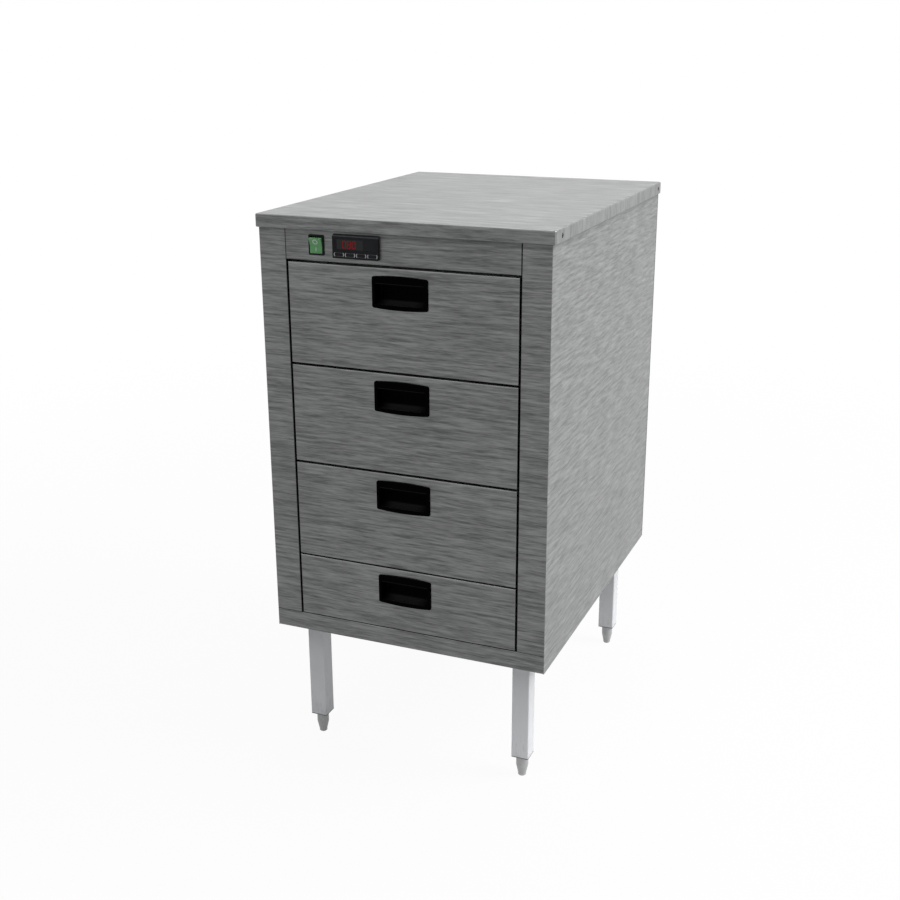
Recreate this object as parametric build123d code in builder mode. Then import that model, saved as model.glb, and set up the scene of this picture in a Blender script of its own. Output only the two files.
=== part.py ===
from build123d import *
from math import cos, radians, sin, tan
import os

os.makedirs("parts", exist_ok=True)

# A free-standing heated drawer cabinet for bread rolls: four drawers on telescopic
# slides in an insulated stainless body on four tube legs.
# Millimetres. X points right as seen from the front, Y points to the back, Z up.
# The floor is Z = 0, and the front skin of drawers and stiles lies at front_y.

# Body, outside
body_width = 466.0
body_depth = 606.0
skin = 1.2
bend = 2.0
seam = 0.1
fit = 0.3
stile_width = 45.2
stile_return = 20.0
rear_flange = 25.0
top_flange = 15.0
pan_flange = 15.0
rail_return = 18.0

# Front layout, from the underside of the body up
rail_height = 30.1
rail_joint = 0.8
fascia_joint = 0.8
low_front_height = 104.0
low_gap = 2.2
upper_front_height = 156.4
drawer_gap = 3.2
fascia_height = 46.1
side_gap = 2.7

# Worktop
top_sheet = 1.5
lip_height = 20.0
lip_side = 4.5
lip_front = 3.5
lip_fold = 14.0
top_round = 2.5
corner_round = 5.0

# Casing screws: a flat round head on a short shank
screw_head_radius = 3.7
screw_head_height = 1.5
screw_radius = 2.0
screw_length = 4.6
screw_play = 0.1
lip_screw_drop = 10.6
lip_screw_inset = (27.5, 21.0)
back_screws = 5
back_screw_inset = 12.0
back_screw_margin = 40.0

# Legs and feet
leg_length = 180.0
leg_size = 29.0
leg_wall = 1.5
leg_corner = 2.0
leg_inset = 35.0
leg_plate = 60.0
leg_plate_sheet = 3.0
leg_bolt_pitch = 44.0
bolt_radius = 3.0
bolt_play = 0.15
bolt_head_height = 4.0
bolt_flats = 10.0
nut_height = 5.0
insert_flange = 1.5
insert_length = 32.0
insert_boss_radius = 8.0
insert_fin = 2.0
foot_height = 38.0
foot_radius = 10.0
foot_tip_radius = 6.6
foot_tip_height = 4.0
foot_edge = 1.5
foot_collar = 18.0
stem_radius = 5.0
stem_length = 44.0
stem_play = 0.25

# Cavity: liner sheets with insulation behind them
liner_sheet = 1.0
back_insulation = 40.0
top_insulation = 24.0
front_play = 3.0
leg_pocket = 64.0
leg_pocket_height = 13.0

# Drawers
pan_depth = 22.0
front_bend = 1.6
plate_inset = 0.5
box_sheet = 1.0
box_back_space = 36.6
box_bend = 3.0
box_hem = 8.0
upper_box_rise = 14.0
upper_box_drop = 30.4
low_box_rise = 27.0
low_box_drop = 11.0
air_slot_length = 60.0
air_slot_width = 8.0
air_slot_pitch_x = 150.0
air_slot_pitch_y = 110.0

# Telescopic slides
slide_depth = 12.7
slide_height = 45.0
slide_sheet = 1.2
slide_lip = 3.0
slide_channel = 10.5
slide_middle_sheet = 1.0
slide_middle_lip = 3.5
slide_play = 0.3
slide_setback = 28.0
slide_short = 0.3

# Recessed pull
pull_width = 90.2
pull_height = 46.5
pull_bow = 2.4
pull_corner = 3.2
pull_proud = 2.0
pull_drop = 12.9
pull_frame = 5.0
pull_hood = 10.3
pull_hood_sheet = 3.2
cup_depth = 18.0
cup_wall = 1.8
cup_head = 5.6
cup_ramp = 13.0
cup_round = 3.0
catch_rise = 1.6
catch_length = 7.0
catch_height = 14.0

# Controller in the fascia
control_width = 74.9
control_height = 35.5
control_x = -68.9
control_rise = 25.1
control_proud = 5.5
control_face = 2.2
control_slope = 3.7
control_brow = 1.0
control_round = 1.5
case_width = 70.5
case_height = 28.5
case_length = 62.0
case_play = 0.4
window_width = 65.0
window_height = 16.0
window_rise = 3.4
window_recess = 0.4
window_flange = 1.0
key_width = 11.0
key_height = 4.0
key_pitch = 18.2
key_side = 0.8
key_drop = 11.9
key_rise = 0.5
key_travel = 0.5
key_flange = 0.6
clip_width = 6.0
clip_length = 14.0
clip_height = 16.0

# Rocker switch in the fascia
switch_width = 25.8
switch_height = 30.6
switch_x = -134.9
switch_rise = 24.4
switch_proud = 2.0
switch_round = 1.0
switch_body_width = 22.0
switch_body_height = 28.2
switch_body_depth = 20.0
rocker_width = 20.0
rocker_half = 11.6
rocker_front = 5.0
rocker_skirt = 4.4
rocker_back = 4.0
rocker_tilt = 12.0
rocker_pivot = 2.3
rocker_pin_radius = 1.5
rocker_pin_length = 0.6

# Heating element, probe, wiring and cable gland
element_radius = 4.25
element_rise = 14.0
element_pitch = 80.0
element_bend = 30.0
element_front = 60.0
element_back = 70.0
element_tail = 25.0
support_width = 15.0
support_sheet = 1.2
support_inset = 90.0
probe_radius = 3.0
probe_reach = 28.0
probe_nut = 10.0
probe_x = 60.0
probe_drop = 18.0
terminal_length = 62.0
terminal_width = 20.0
terminal_height = 16.0
terminal_poles = 5
terminal_x = 90.0
terminal_back = 70.0
gland_inset = 83.0
gland_rise = 30.0
gland_thread_radius = 10.0
gland_bore_radius = 5.0
gland_flats = 24.0
gland_hex = 6.0
gland_reach = 24.0
gland_nut_height = 5.0
gland_inner = 11.0
vent_length = 45.0
vent_width = 4.5
vent_x = -110.0

# Levels that follow from the layout
underside_z = foot_height + leg_length
rail_top = underside_z + rail_height
low_front_z = rail_top + rail_joint
third_front_z = low_front_z + low_front_height + low_gap
second_front_z = third_front_z + upper_front_height + drawer_gap
first_front_z = second_front_z + upper_front_height + drawer_gap
fascia_z = first_front_z + upper_front_height + drawer_gap
lip_z = fascia_z + fascia_height
top_z = lip_z + lip_height
sheet_under_z = top_z - top_sheet
cavity_top = fascia_z - top_insulation - liner_sheet

# Planes of the front and back, with the whole cabinet centred in Y
rocker_corner = rocker_front * cos(radians(rocker_tilt)) + rocker_half * sin(radians(rocker_tilt))
reach_front = max(lip_front, control_proud + key_rise, switch_proud - rocker_pivot + rocker_corner)
front_y = (reach_front - body_depth - gland_reach) / 2
back_y = front_y + body_depth

# Inner faces that the cavity, slides and drawers share
half_body = body_width / 2
opening_x = half_body - stile_width
panel_x = half_body - skin
front_width = 2 * (opening_x - side_gap)
liner_front_y = front_y + stile_return + seam
flange_y = back_y - max(skin, top_sheet) - seam
pan_back_y = flange_y - bend - seam
wool_back = pan_back_y - skin - seam
liner_back_y = wool_back - back_insulation - seam - liner_sheet
plate_y = front_y + pan_depth + seam
box_y = plate_y + skin
box_width = 2 * (opening_x - slide_depth - seam)
box_length = liner_back_y - box_back_space - box_y
slide_y = front_y + slide_setback
slide_length = box_y + box_length - slide_short - slide_y
upper_box_height = upper_front_height - upper_box_rise - upper_box_drop
low_box_height = low_front_height - low_box_rise - low_box_drop
gland_x = half_body - gland_inset

leg_x = half_body - leg_inset - leg_size / 2
leg_front_y = front_y + leg_inset + leg_size / 2
leg_rear_y = back_y - leg_inset - leg_size / 2
leg_points = {
    "front_left": (-leg_x, leg_front_y),
    "front_right": (leg_x, leg_front_y),
    "rear_left": (-leg_x, leg_rear_y),
    "rear_right": (leg_x, leg_rear_y),
}
bolt_points = [
    (x + i * leg_bolt_pitch / 2, y + j * leg_bolt_pitch / 2)
    for x, y in leg_points.values()
    for i in (-1, 1)
    for j in (-1, 1)
]

# Each drawer: level of its front, height of its front, rise and height of its box
drawers = {
    "1": (first_front_z, upper_front_height, upper_box_rise, upper_box_height),
    "2": (second_front_z, upper_front_height, upper_box_rise, upper_box_height),
    "3": (third_front_z, upper_front_height, upper_box_rise, upper_box_height),
    "4": (low_front_z, low_front_height, low_box_rise, low_box_height),
}


def plane_facing_front(y):
    """Upright plane at y: sketch X is X, sketch Y is Z, and the normal points to the front."""
    return Plane.XZ.offset(-y)


def save(part, name):
    part.label = name
    export_step(part, f"parts/{name}.step")


def folded_sheet(points, thickness, side, radius=0.0):
    """Section of a sheet folded along a line that runs on one of its faces."""
    with BuildSketch() as section:
        with BuildLine():
            if radius:
                FilletPolyline(*points, radius=radius)
            else:
                Polyline(*points)
            offset(amount=thickness, side=side)
        make_face()
    return section.sketch


def span(low, high):
    """Centre and length of the stretch between two values."""
    return (low + high) / 2, high - low


def slab(low, high):
    """Box between two corners, placed in the part being built."""
    centre = tuple((a + b) / 2 for a, b in zip(low, high))
    with Locations(centre):
        Box(*[b - a for a, b in zip(low, high)])


# Worktop: a sheet folded down on all sides, its front and side lips hemmed double
lip_screw_z = top_z - lip_screw_drop
lip_screw_ys = (front_y + lip_screw_inset[0], back_y - lip_screw_inset[1])
worktop_front = front_y - lip_front
worktop_side = half_body + lip_side

with BuildPart() as worktop:
    mid_y, depth = span(worktop_front, back_y)
    with BuildSketch(Plane.XY.offset(lip_z)):
        with Locations((0, mid_y)):
            Rectangle(2 * worktop_side, depth)
    extrude(amount=lip_height)
    fillet(worktop.edges().filter_by(Axis.Z), corner_round)
    fillet(worktop.faces().sort_by(Axis.Z)[-1].edges(), top_round)
    fillet(worktop.faces().sort_by(Axis.Z)[0].edges(), top_sheet * 0.9)
    for thickness, level, height in (
        (2 * top_sheet, lip_z, lip_fold),
        (top_sheet, lip_z + lip_fold, lip_height - lip_fold - top_sheet),
    ):
        mid_y, depth = span(worktop_front + thickness, back_y - top_sheet)
        with BuildSketch(Plane.XY.offset(level)):
            with Locations((0, mid_y)):
                Rectangle(2 * (worktop_side - thickness), depth)
        extrude(amount=height, mode=Mode.SUBTRACT)
    for hand in (-1, 1):
        heads = [Plane((hand * worktop_side, y, lip_screw_z), z_dir=(hand, 0, 0)) for y in lip_screw_ys]
        with Locations(*heads):
            CounterBoreHole(
                screw_radius + screw_play,
                screw_head_radius + screw_play,
                screw_head_height,
                depth=lip_side,
            )
save(worktop.part, "worktop")

# Side panels: stile, side and rear flange folded from one sheet
panel_top = sheet_under_z - seam
back_screw_x = half_body - back_screw_inset
back_panel_top = lip_z - fit
screw_low = underside_z + back_screw_margin
screw_step = (back_panel_top - back_screw_margin - screw_low) / (back_screws - 1)
back_screw_zs = [screw_low + i * screw_step for i in range(back_screws)]

with BuildPart() as side_panel_right:
    with BuildSketch(Plane.XY.offset(underside_z)):
        add(
            folded_sheet(
                [
                    (opening_x, front_y + stile_return),
                    (opening_x, front_y),
                    (half_body, front_y),
                    (half_body, flange_y),
                    (half_body - rear_flange, flange_y),
                ],
                skin,
                Side.LEFT,
                bend,
            )
        )
    extrude(amount=panel_top - underside_z)
    slab(
        (panel_x - top_flange, front_y + stile_return, panel_top - skin),
        (panel_x + skin / 2, flange_y - skin / 2, panel_top),
    )
    with Locations((opening_x - 1, front_y - 1, underside_z - 1)):
        Box(
            panel_x - opening_x + 1,
            stile_return + 2,
            rail_height + rail_joint + 1,
            align=Align.MIN,
            mode=Mode.SUBTRACT,
        )
    with Locations(*[Plane((half_body, y, lip_screw_z), z_dir=(1, 0, 0)) for y in lip_screw_ys]):
        Hole(screw_radius + screw_play, depth=2 * skin)
    with Locations(*[Plane((back_screw_x, flange_y, z), z_dir=(0, 1, 0)) for z in back_screw_zs]):
        Hole(screw_radius + screw_play, depth=2 * skin)
save(side_panel_right.part, "side_panel_right")

with BuildPart() as side_panel_left:
    mirror(side_panel_right.part, about=Plane.YZ)
save(side_panel_left.part, "side_panel_left")

# Back panel with air slots for the wiring space and the hole for the cable gland
gland_z = fascia_z + gland_rise
vent_z = (fascia_z + back_panel_top) / 2

with BuildPart() as back_panel:
    mid_z, height = span(underside_z, back_panel_top)
    with BuildSketch(plane_facing_front(back_y)):
        with Locations((0, mid_z)):
            Rectangle(body_width, height)
        with Locations((gland_x, gland_z)):
            Circle(gland_thread_radius + screw_play, mode=Mode.SUBTRACT)
        with Locations((vent_x, vent_z)):
            with GridLocations(1.3 * vent_length, 2 * vent_width, 3, 4):
                SlotOverall(vent_length, vent_width, mode=Mode.SUBTRACT)
        with Locations(*[(hand * back_screw_x, z) for hand in (-1, 1) for z in back_screw_zs]):
            Circle(screw_radius + screw_play, mode=Mode.SUBTRACT)
    extrude(amount=skin)
save(back_panel.part, "back_panel")

# Casing screws through the worktop lips and the back panel
head_x = worktop_side - screw_head_height
screw_planes = [Plane((hand * head_x, y, lip_screw_z), z_dir=(hand, 0, 0)) for hand in (-1, 1) for y in lip_screw_ys]
screw_planes += [Plane((hand * back_screw_x, back_y, z), z_dir=(0, 1, 0)) for hand in (-1, 1) for z in back_screw_zs]

with BuildPart() as casing_screws:
    for plane in screw_planes:
        with BuildSketch(plane):
            Circle(screw_head_radius)
        extrude(amount=screw_head_height)
        with BuildSketch(plane):
            Circle(screw_radius)
        extrude(amount=-screw_length)
save(casing_screws.part, "casing_screws")

# Base pan: floor of the body, its front edge turned up as the base rail
pan_x = panel_x - seam

with BuildPart() as base_pan:
    with BuildSketch(Plane.YZ.offset(-pan_x)):
        add(
            folded_sheet(
                [
                    (pan_back_y, underside_z + pan_flange),
                    (pan_back_y, underside_z),
                    (front_y, underside_z),
                    (front_y, rail_top),
                    (front_y + rail_return, rail_top),
                ],
                skin,
                Side.RIGHT,
                bend,
            )
        )
    extrude(amount=2 * pan_x)
    for hand in (-1, 1):
        x = hand * (pan_x - skin / 2)
        slab(
            (x - skin / 2, front_y + bend, underside_z + skin / 2),
            (x + skin / 2, pan_back_y - bend, underside_z + pan_flange),
        )
    with BuildSketch(Plane.XY.offset(underside_z)):
        with Locations(*bolt_points):
            Circle(bolt_radius + bolt_play)
    extrude(amount=2 * skin, mode=Mode.SUBTRACT)
save(base_pan.part, "base_pan")

# Control fascia: the front between the stiles, folded back as the wiring floor
control_z = fascia_z + control_rise
switch_z = fascia_z + switch_rise
fascia_x = opening_x - fascia_joint
wing_x = panel_x - seam
wing_y = front_y + stile_return + seam

with BuildPart() as control_fascia:
    with BuildSketch(Plane.YZ.offset(-fascia_x)):
        add(
            folded_sheet(
                [
                    (front_y + top_flange, panel_top),
                    (front_y, panel_top),
                    (front_y, fascia_z),
                    (pan_back_y, fascia_z),
                    (pan_back_y, fascia_z + pan_flange),
                ],
                skin,
                Side.LEFT,
                bend,
            )
        )
    extrude(amount=2 * fascia_x)
    for hand in (-1, 1):
        x_values = sorted((hand * (fascia_x - 1), hand * wing_x))
        slab((x_values[0], wing_y, fascia_z), (x_values[1], pan_back_y - bend, fascia_z + skin))
        x_values = sorted((hand * (wing_x - skin), hand * wing_x))
        slab((x_values[0], wing_y, fascia_z), (x_values[1], pan_back_y - bend, fascia_z + pan_flange))
    with BuildSketch(plane_facing_front(front_y)):
        with Locations((control_x, control_z)):
            Rectangle(case_width + 2 * case_play, case_height + 2 * case_play)
        with Locations((switch_x, switch_z)):
            Rectangle(switch_body_width + 2 * fit, switch_body_height + 2 * fit)
    extrude(amount=-2 * skin, mode=Mode.SUBTRACT)
save(control_fascia.part, "control_fascia")

# Liner: separate sheets round the heated cavity
liner_low = rail_top + seam
liner_high = fascia_z - seam
liner_top_front = box_y + front_play

with BuildPart() as liner_right:
    with BuildSketch(Plane.XY.offset(liner_low)):
        add(
            folded_sheet(
                [
                    (opening_x + top_flange, liner_front_y),
                    (opening_x, liner_front_y),
                    (opening_x, liner_back_y - seam),
                ],
                liner_sheet,
                Side.RIGHT,
                bend,
            )
        )
    extrude(amount=liner_high - liner_low)
save(liner_right.part, "liner_right")

with BuildPart() as liner_left:
    mirror(liner_right.part, about=Plane.YZ)
save(liner_left.part, "liner_left")

with BuildPart() as liner_base:
    slab(
        (-opening_x - liner_sheet, front_y + rail_return + seam, rail_top - liner_sheet),
        (opening_x + liner_sheet, liner_back_y + liner_sheet, rail_top),
    )
save(liner_base.part, "liner_base")

liner_top_x = opening_x - seam
with BuildPart() as liner_top:
    with BuildSketch(Plane.YZ.offset(-liner_top_x)):
        add(
            folded_sheet(
                [
                    (liner_top_front, liner_high),
                    (liner_top_front, cavity_top),
                    (liner_back_y - seam, cavity_top),
                ],
                liner_sheet,
                Side.LEFT,
                bend,
            )
        )
    extrude(amount=2 * liner_top_x)
save(liner_top.part, "liner_top")

element_z = rail_top + element_rise
element_x = 1.5 * element_pitch
probe_z = cavity_top - probe_drop
with BuildPart() as liner_back:
    mid_z, height = span(liner_low, liner_high)
    with BuildSketch(plane_facing_front(liner_back_y)):
        with Locations((0, mid_z)):
            Rectangle(2 * (opening_x + liner_sheet), height)
        with Locations((-element_x, element_z), (element_x, element_z)):
            Circle(element_radius + fit, mode=Mode.SUBTRACT)
        with Locations((probe_x, probe_z)):
            Circle(probe_radius + fit, mode=Mode.SUBTRACT)
    extrude(amount=-liner_sheet)
save(liner_back.part, "liner_back")

# Insulation: five slabs between the liner and the outer sheets
wool_low = underside_z + bend
wool_front = liner_front_y + bend + seam
wool_x = opening_x + liner_sheet + seam
pan_inside = pan_x - skin - seam

with BuildPart() as insulation:
    for hand in (-1, 1):
        x_values = sorted((hand * wool_x, hand * pan_inside))
        slab((x_values[0], wool_front, wool_low), (x_values[1], wool_back, liner_high))
    slab(
        (seam - wool_x, liner_back_y + liner_sheet + seam, wool_low),
        (wool_x - seam, wool_back, liner_high),
    )
    slab(
        (seam - wool_x, front_y + rail_return + seam, wool_low),
        (wool_x - seam, liner_back_y + liner_sheet, rail_top - liner_sheet - seam),
    )
    slab(
        (seam - liner_top_x, liner_top_front + bend + seam, cavity_top + liner_sheet + seam),
        (liner_top_x - seam, liner_back_y - seam, liner_high),
    )
    with Locations(*[(x, y, wool_low) for x, y in leg_points.values()]):
        Box(leg_pocket, leg_pocket, 2 * leg_pocket_height, mode=Mode.SUBTRACT)
    with BuildSketch(plane_facing_front(liner_back_y)):
        with Locations((-element_x, element_z), (element_x, element_z)):
            Circle(element_radius + fit)
        with Locations((probe_x, probe_z)):
            Circle(probe_nut / 2 / cos(radians(30)) + fit)
    extrude(amount=-element_tail - 3 * fit, mode=Mode.SUBTRACT)
save(insulation.part, "insulation")


# Legs: square tube with a flange plate welded on top
tube_low = foot_height + insert_flange
plate_low = underside_z - leg_plate_sheet

for corner, (x, y) in leg_points.items():
    with BuildPart() as leg:
        with BuildSketch(Plane.XY.offset(tube_low)):
            with Locations((x, y)):
                RectangleRounded(leg_size, leg_size, leg_corner)
                Rectangle(leg_size - 2 * leg_wall, leg_size - 2 * leg_wall, mode=Mode.SUBTRACT)
        extrude(amount=plate_low - tube_low)
        with BuildSketch(Plane.XY.offset(plate_low)):
            with Locations((x, y)):
                RectangleRounded(leg_plate, leg_plate, 2 * leg_corner)
                with GridLocations(leg_bolt_pitch, leg_bolt_pitch, 2, 2):
                    Circle(bolt_radius + bolt_play, mode=Mode.SUBTRACT)
        extrude(amount=leg_plate_sheet)
    save(leg.part, f"leg_{corner}")

backing_z = underside_z + skin
with BuildPart() as leg_backing_plates:
    with BuildSketch(Plane.XY.offset(backing_z)):
        with Locations(*leg_points.values()):
            RectangleRounded(leg_plate, leg_plate, 2 * leg_corner)
    extrude(amount=leg_plate_sheet)
    with BuildSketch(Plane.XY.offset(backing_z + leg_plate_sheet)):
        with Locations(*bolt_points):
            RegularPolygon(bolt_flats / 2, 6, major_radius=False)
    extrude(amount=nut_height)
    with BuildSketch(Plane.XY.offset(backing_z)):
        with Locations(*bolt_points):
            Circle(bolt_radius + bolt_play)
    extrude(amount=leg_plate_sheet + nut_height, mode=Mode.SUBTRACT)
save(leg_backing_plates.part, "leg_backing_plates")

with BuildPart() as leg_bolts:
    with BuildSketch(Plane.XY.offset(plate_low)):
        with Locations(*bolt_points):
            RegularPolygon(bolt_flats / 2, 6, major_radius=False)
    extrude(amount=-bolt_head_height)
    with BuildSketch(Plane.XY.offset(plate_low)):
        with Locations(*bolt_points):
            Circle(bolt_radius)
    extrude(amount=2 * leg_plate_sheet + skin + nut_height + 1)
save(leg_bolts.part, "leg_bolts")

# Tube inserts with fins that grip the tube and a bore for the foot's stem
insert_size = leg_size - 2 * leg_wall - 2 * seam

with BuildPart() as leg_inserts:
    with BuildSketch(Plane.XY.offset(foot_height)):
        with Locations(*leg_points.values()):
            RectangleRounded(leg_size, leg_size, leg_corner)
    extrude(amount=insert_flange)
    with BuildSketch(Plane.XY.offset(foot_height)):
        with Locations(*leg_points.values()):
            Circle(insert_boss_radius)
    extrude(amount=insert_flange + insert_length)
    for i in range(3):
        fin_z = tube_low + (i + 1) * insert_length / 3 - 2 * insert_fin
        with BuildSketch(Plane.XY.offset(fin_z)):
            with Locations(*leg_points.values()):
                Rectangle(insert_size, insert_size)
        extrude(amount=insert_fin)
    with BuildSketch(Plane.XY.offset(foot_height)):
        with Locations(*leg_points.values()):
            Circle(stem_radius + stem_play)
    extrude(amount=insert_flange + insert_length, mode=Mode.SUBTRACT)
save(leg_inserts.part, "leg_inserts")

# Levelling feet: a bullet with a threaded stem, wound fully in at rest
collar_z = foot_height - fit
for corner, (x, y) in leg_points.items():
    with BuildPart() as foot:
        with BuildSketch(Plane((x, y, 0), x_dir=(1, 0, 0), z_dir=(0, -1, 0))):
            with BuildLine():
                Polyline(
                    (0, 0),
                    (foot_tip_radius - foot_edge, 0),
                    (foot_tip_radius, foot_edge),
                    (foot_tip_radius, foot_tip_height),
                    (foot_radius, collar_z - foot_collar),
                    (foot_radius, collar_z - foot_edge),
                    (foot_radius - foot_edge, collar_z),
                    (stem_radius, collar_z),
                    (stem_radius, collar_z + stem_length),
                    (0, collar_z + stem_length),
                    close=True,
                )
            make_face()
        revolve(axis=Axis((x, y, 0), (0, 0, 1)))
    save(foot.part, f"foot_{corner}")


# Telescopic slides. Each side has three nested sections: a lipped channel on the
# liner, a lipped middle channel in it, and a hat section on the drawer box whose
# brims the middle channel holds.
channel_half = slide_height / 2
middle_near = slide_sheet + slide_play
middle_far = slide_channel - slide_sheet - slide_play
middle_half = channel_half - slide_sheet - slide_play
hat_half = middle_half - slide_middle_sheet - slide_play
neck_half = middle_half - slide_middle_lip - slide_play
brim_far = middle_far - slide_middle_sheet - slide_play


def slide_pair(z, outline, thickness, side):
    """Right-hand and left-hand section at level z; outline gives distance from the liner and height."""
    with BuildPart() as pair:
        with BuildSketch(plane_facing_front(slide_y)):
            add(folded_sheet([(opening_x - u, z + v) for u, v in outline], thickness, side))
        extrude(amount=-slide_length)
        mirror(about=Plane.YZ)
    return pair.part


def channel(near, far, half, lip):
    return [(far, half - lip), (far, half), (near, half), (near, -half), (far, -half), (far, lip - half)]


def slide_level(drawer):
    front_z, front_height, rise, height = drawer
    return front_z + rise + height / 2


with BuildPart() as cabinet_slides:
    for drawer in drawers.values():
        outline = channel(0, slide_channel, channel_half, slide_lip)
        add(slide_pair(slide_level(drawer), outline, slide_sheet, Side.RIGHT))
save(cabinet_slides.part, "cabinet_slides")


# Recessed pull: a bowed frame, a hood to grip and a scooped cup behind it
cup_half_x = pull_width / 2 - pull_frame
recess_low = pull_frame - pull_height / 2
recess_high = pull_height / 2 - pull_hood
cup_top = recess_high + cup_head


def finger_recess(x, y, z):
    """Space for the fingers: in under the hood, up behind it, with a curved ramp below."""
    plane = Plane((x, y, z), x_dir=(0, 1, 0), z_dir=(1, 0, 0))
    front = -pull_proud - 1
    hood = pull_hood_sheet - pull_proud
    with BuildPart() as recess:
        with BuildSketch(plane):
            with BuildLine():
                Polyline(
                    (0, recess_low),
                    (front, recess_low),
                    (front, recess_high),
                    (hood, recess_high),
                    (hood, cup_top),
                    (cup_depth, cup_top),
                    (cup_depth, recess_low + cup_ramp),
                )
                ThreePointArc(
                    (cup_depth, recess_low + cup_ramp),
                    (0.66 * cup_depth, recess_low + 0.26 * cup_ramp),
                    (0, recess_low),
                )
            make_face()
        extrude(amount=cup_half_x, both=True)
        corners = recess.edges().filter_by(Axis.Z).group_by(Axis.Y)[-1]
        fillet(corners, cup_round)
    return recess.part


def pull(z):
    plane = Plane((0, front_y, z), x_dir=(0, 1, 0), z_dir=(1, 0, 0))
    half_x = pull_width / 2
    half_z = pull_height / 2
    with BuildPart() as handle:
        with BuildSketch(plane_facing_front(front_y)):
            with BuildLine():
                ThreePointArc((-half_x, z + half_z), (0, z + half_z + pull_bow), (half_x, z + half_z))
                Line((half_x, z + half_z), (half_x, z - half_z))
                ThreePointArc((half_x, z - half_z), (0, z - half_z - pull_bow), (-half_x, z - half_z))
                Line((-half_x, z - half_z), (-half_x, z + half_z))
            frame = make_face()
            fillet(frame.vertices(), pull_corner)
        extrude(amount=pull_proud)
        fillet(handle.faces().sort_by(Axis.Y)[0].edges(), 0.6 * pull_proud)
        with BuildSketch(plane):
            with BuildLine():
                Polyline(
                    (0, recess_low - cup_wall),
                    (0, cup_top + cup_wall),
                    (cup_depth + cup_wall, cup_top + cup_wall),
                    (cup_depth + cup_wall, recess_low + cup_ramp - cup_wall),
                )
                ThreePointArc(
                    (cup_depth + cup_wall, recess_low + cup_ramp - cup_wall),
                    (0.7 * cup_depth, recess_low + 0.26 * cup_ramp - cup_wall),
                    (0, recess_low - cup_wall),
                )
            make_face()
        extrude(amount=cup_half_x + cup_wall, both=True)
        catch_x = cup_half_x + cup_wall
        catch_y = front_y + skin + fit
        with BuildSketch(Plane.XY.offset(z - catch_height / 2)):
            for hand in (-1, 1):
                with BuildLine():
                    Polyline(
                        (hand * (catch_x - cup_wall / 2), catch_y),
                        (hand * (catch_x + catch_rise), catch_y),
                        (hand * catch_x, catch_y + catch_length),
                        (hand * (catch_x - cup_wall / 2), catch_y + catch_length),
                        close=True,
                    )
                make_face()
        extrude(amount=catch_height)
        add(finger_recess(0, front_y, z), mode=Mode.SUBTRACT)
    return handle.part


def drawer_front(front_z, front_height, pull_z):
    """Shallow pan, open to the back, with the cut-out for the pull."""
    with BuildPart() as front:
        with BuildSketch(plane_facing_front(front_y)):
            with Locations((0, front_z + front_height / 2)):
                Rectangle(front_width, front_height)
        extrude(amount=-pan_depth)
        fillet(front.faces().sort_by(Axis.Y)[0].edges(), front_bend)
        offset(amount=-skin, openings=front.faces().sort_by(Axis.Y)[-1])
        low = pull_z + recess_low - cup_wall - fit
        high = pull_z + cup_top + cup_wall + fit
        with BuildSketch(plane_facing_front(front_y)):
            with Locations((0, (low + high) / 2)):
                Rectangle(2 * (cup_half_x + cup_wall + fit), high - low)
        extrude(amount=-2 * skin, mode=Mode.SUBTRACT)
    return front.part


def drawer_box(front_z, front_height, rise, height):
    """Open tray with a hemmed rim and air slots, its front sheet closing the front pan."""
    with BuildPart() as box:
        box_z = front_z + rise
        mid_y = box_y + box_length / 2
        with BuildSketch(Plane.XY.offset(box_z)):
            with Locations((0, mid_y)):
                Rectangle(box_width, box_length)
        extrude(amount=height)
        fillet(box.faces().sort_by(Axis.Z)[0].edges(), box_bend)
        offset(amount=-box_sheet, openings=box.faces().sort_by(Axis.Z)[-1])
        with BuildSketch(Plane.XY.offset(box_z + height - box_hem)):
            with Locations((0, mid_y)):
                Rectangle(box_width, box_length)
                Rectangle(box_width - 4 * box_sheet, box_length - 4 * box_sheet, mode=Mode.SUBTRACT)
        extrude(amount=box_hem)
        with BuildSketch(plane_facing_front(plate_y)):
            with Locations((0, front_z + front_height / 2)):
                Rectangle(front_width - 2 * plate_inset, front_height - 2 * plate_inset)
        extrude(amount=-skin)
        with BuildSketch(Plane.XY.offset(box_z)):
            with Locations((0, mid_y)):
                with GridLocations(air_slot_pitch_x, air_slot_pitch_y, 2, 4):
                    SlotOverall(air_slot_length, air_slot_width)
        extrude(amount=2 * box_sheet, mode=Mode.SUBTRACT)
    return box.part


middle_outline = channel(middle_near, middle_far, middle_half, slide_middle_lip)
hat_outline = [
    (brim_far, hat_half),
    (brim_far, neck_half),
    (slide_depth, neck_half),
    (slide_depth, -neck_half),
    (brim_far, -neck_half),
    (brim_far, -hat_half),
]

for number, drawer in drawers.items():
    front_z, front_height, rise, height = drawer
    pull_z = front_z + front_height - pull_drop - pull_height / 2
    save(drawer_front(front_z, front_height, pull_z), f"drawer_{number}_front")
    save(drawer_box(*drawer), f"drawer_{number}_box")
    save(pull(pull_z), f"drawer_{number}_handle")
    level = slide_level(drawer)
    save(slide_pair(level, hat_outline, slide_sheet, Side.LEFT), f"drawer_{number}_slides")
    save(slide_pair(level, middle_outline, slide_middle_sheet, Side.RIGHT), f"drawer_{number}_middle_slides")


# Controller: bezel with a sloping brow, window, four keys and the case behind the fascia
face_y = front_y - control_proud
inner_y = face_y + control_face
key_z = control_z - key_drop
window_z = control_z + window_rise
key_xs = [control_x + key_side + (i - 1.5) * key_pitch for i in range(4)]
key_back = inner_y + fit + key_flange
case_front = key_back + key_travel + fit

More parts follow.
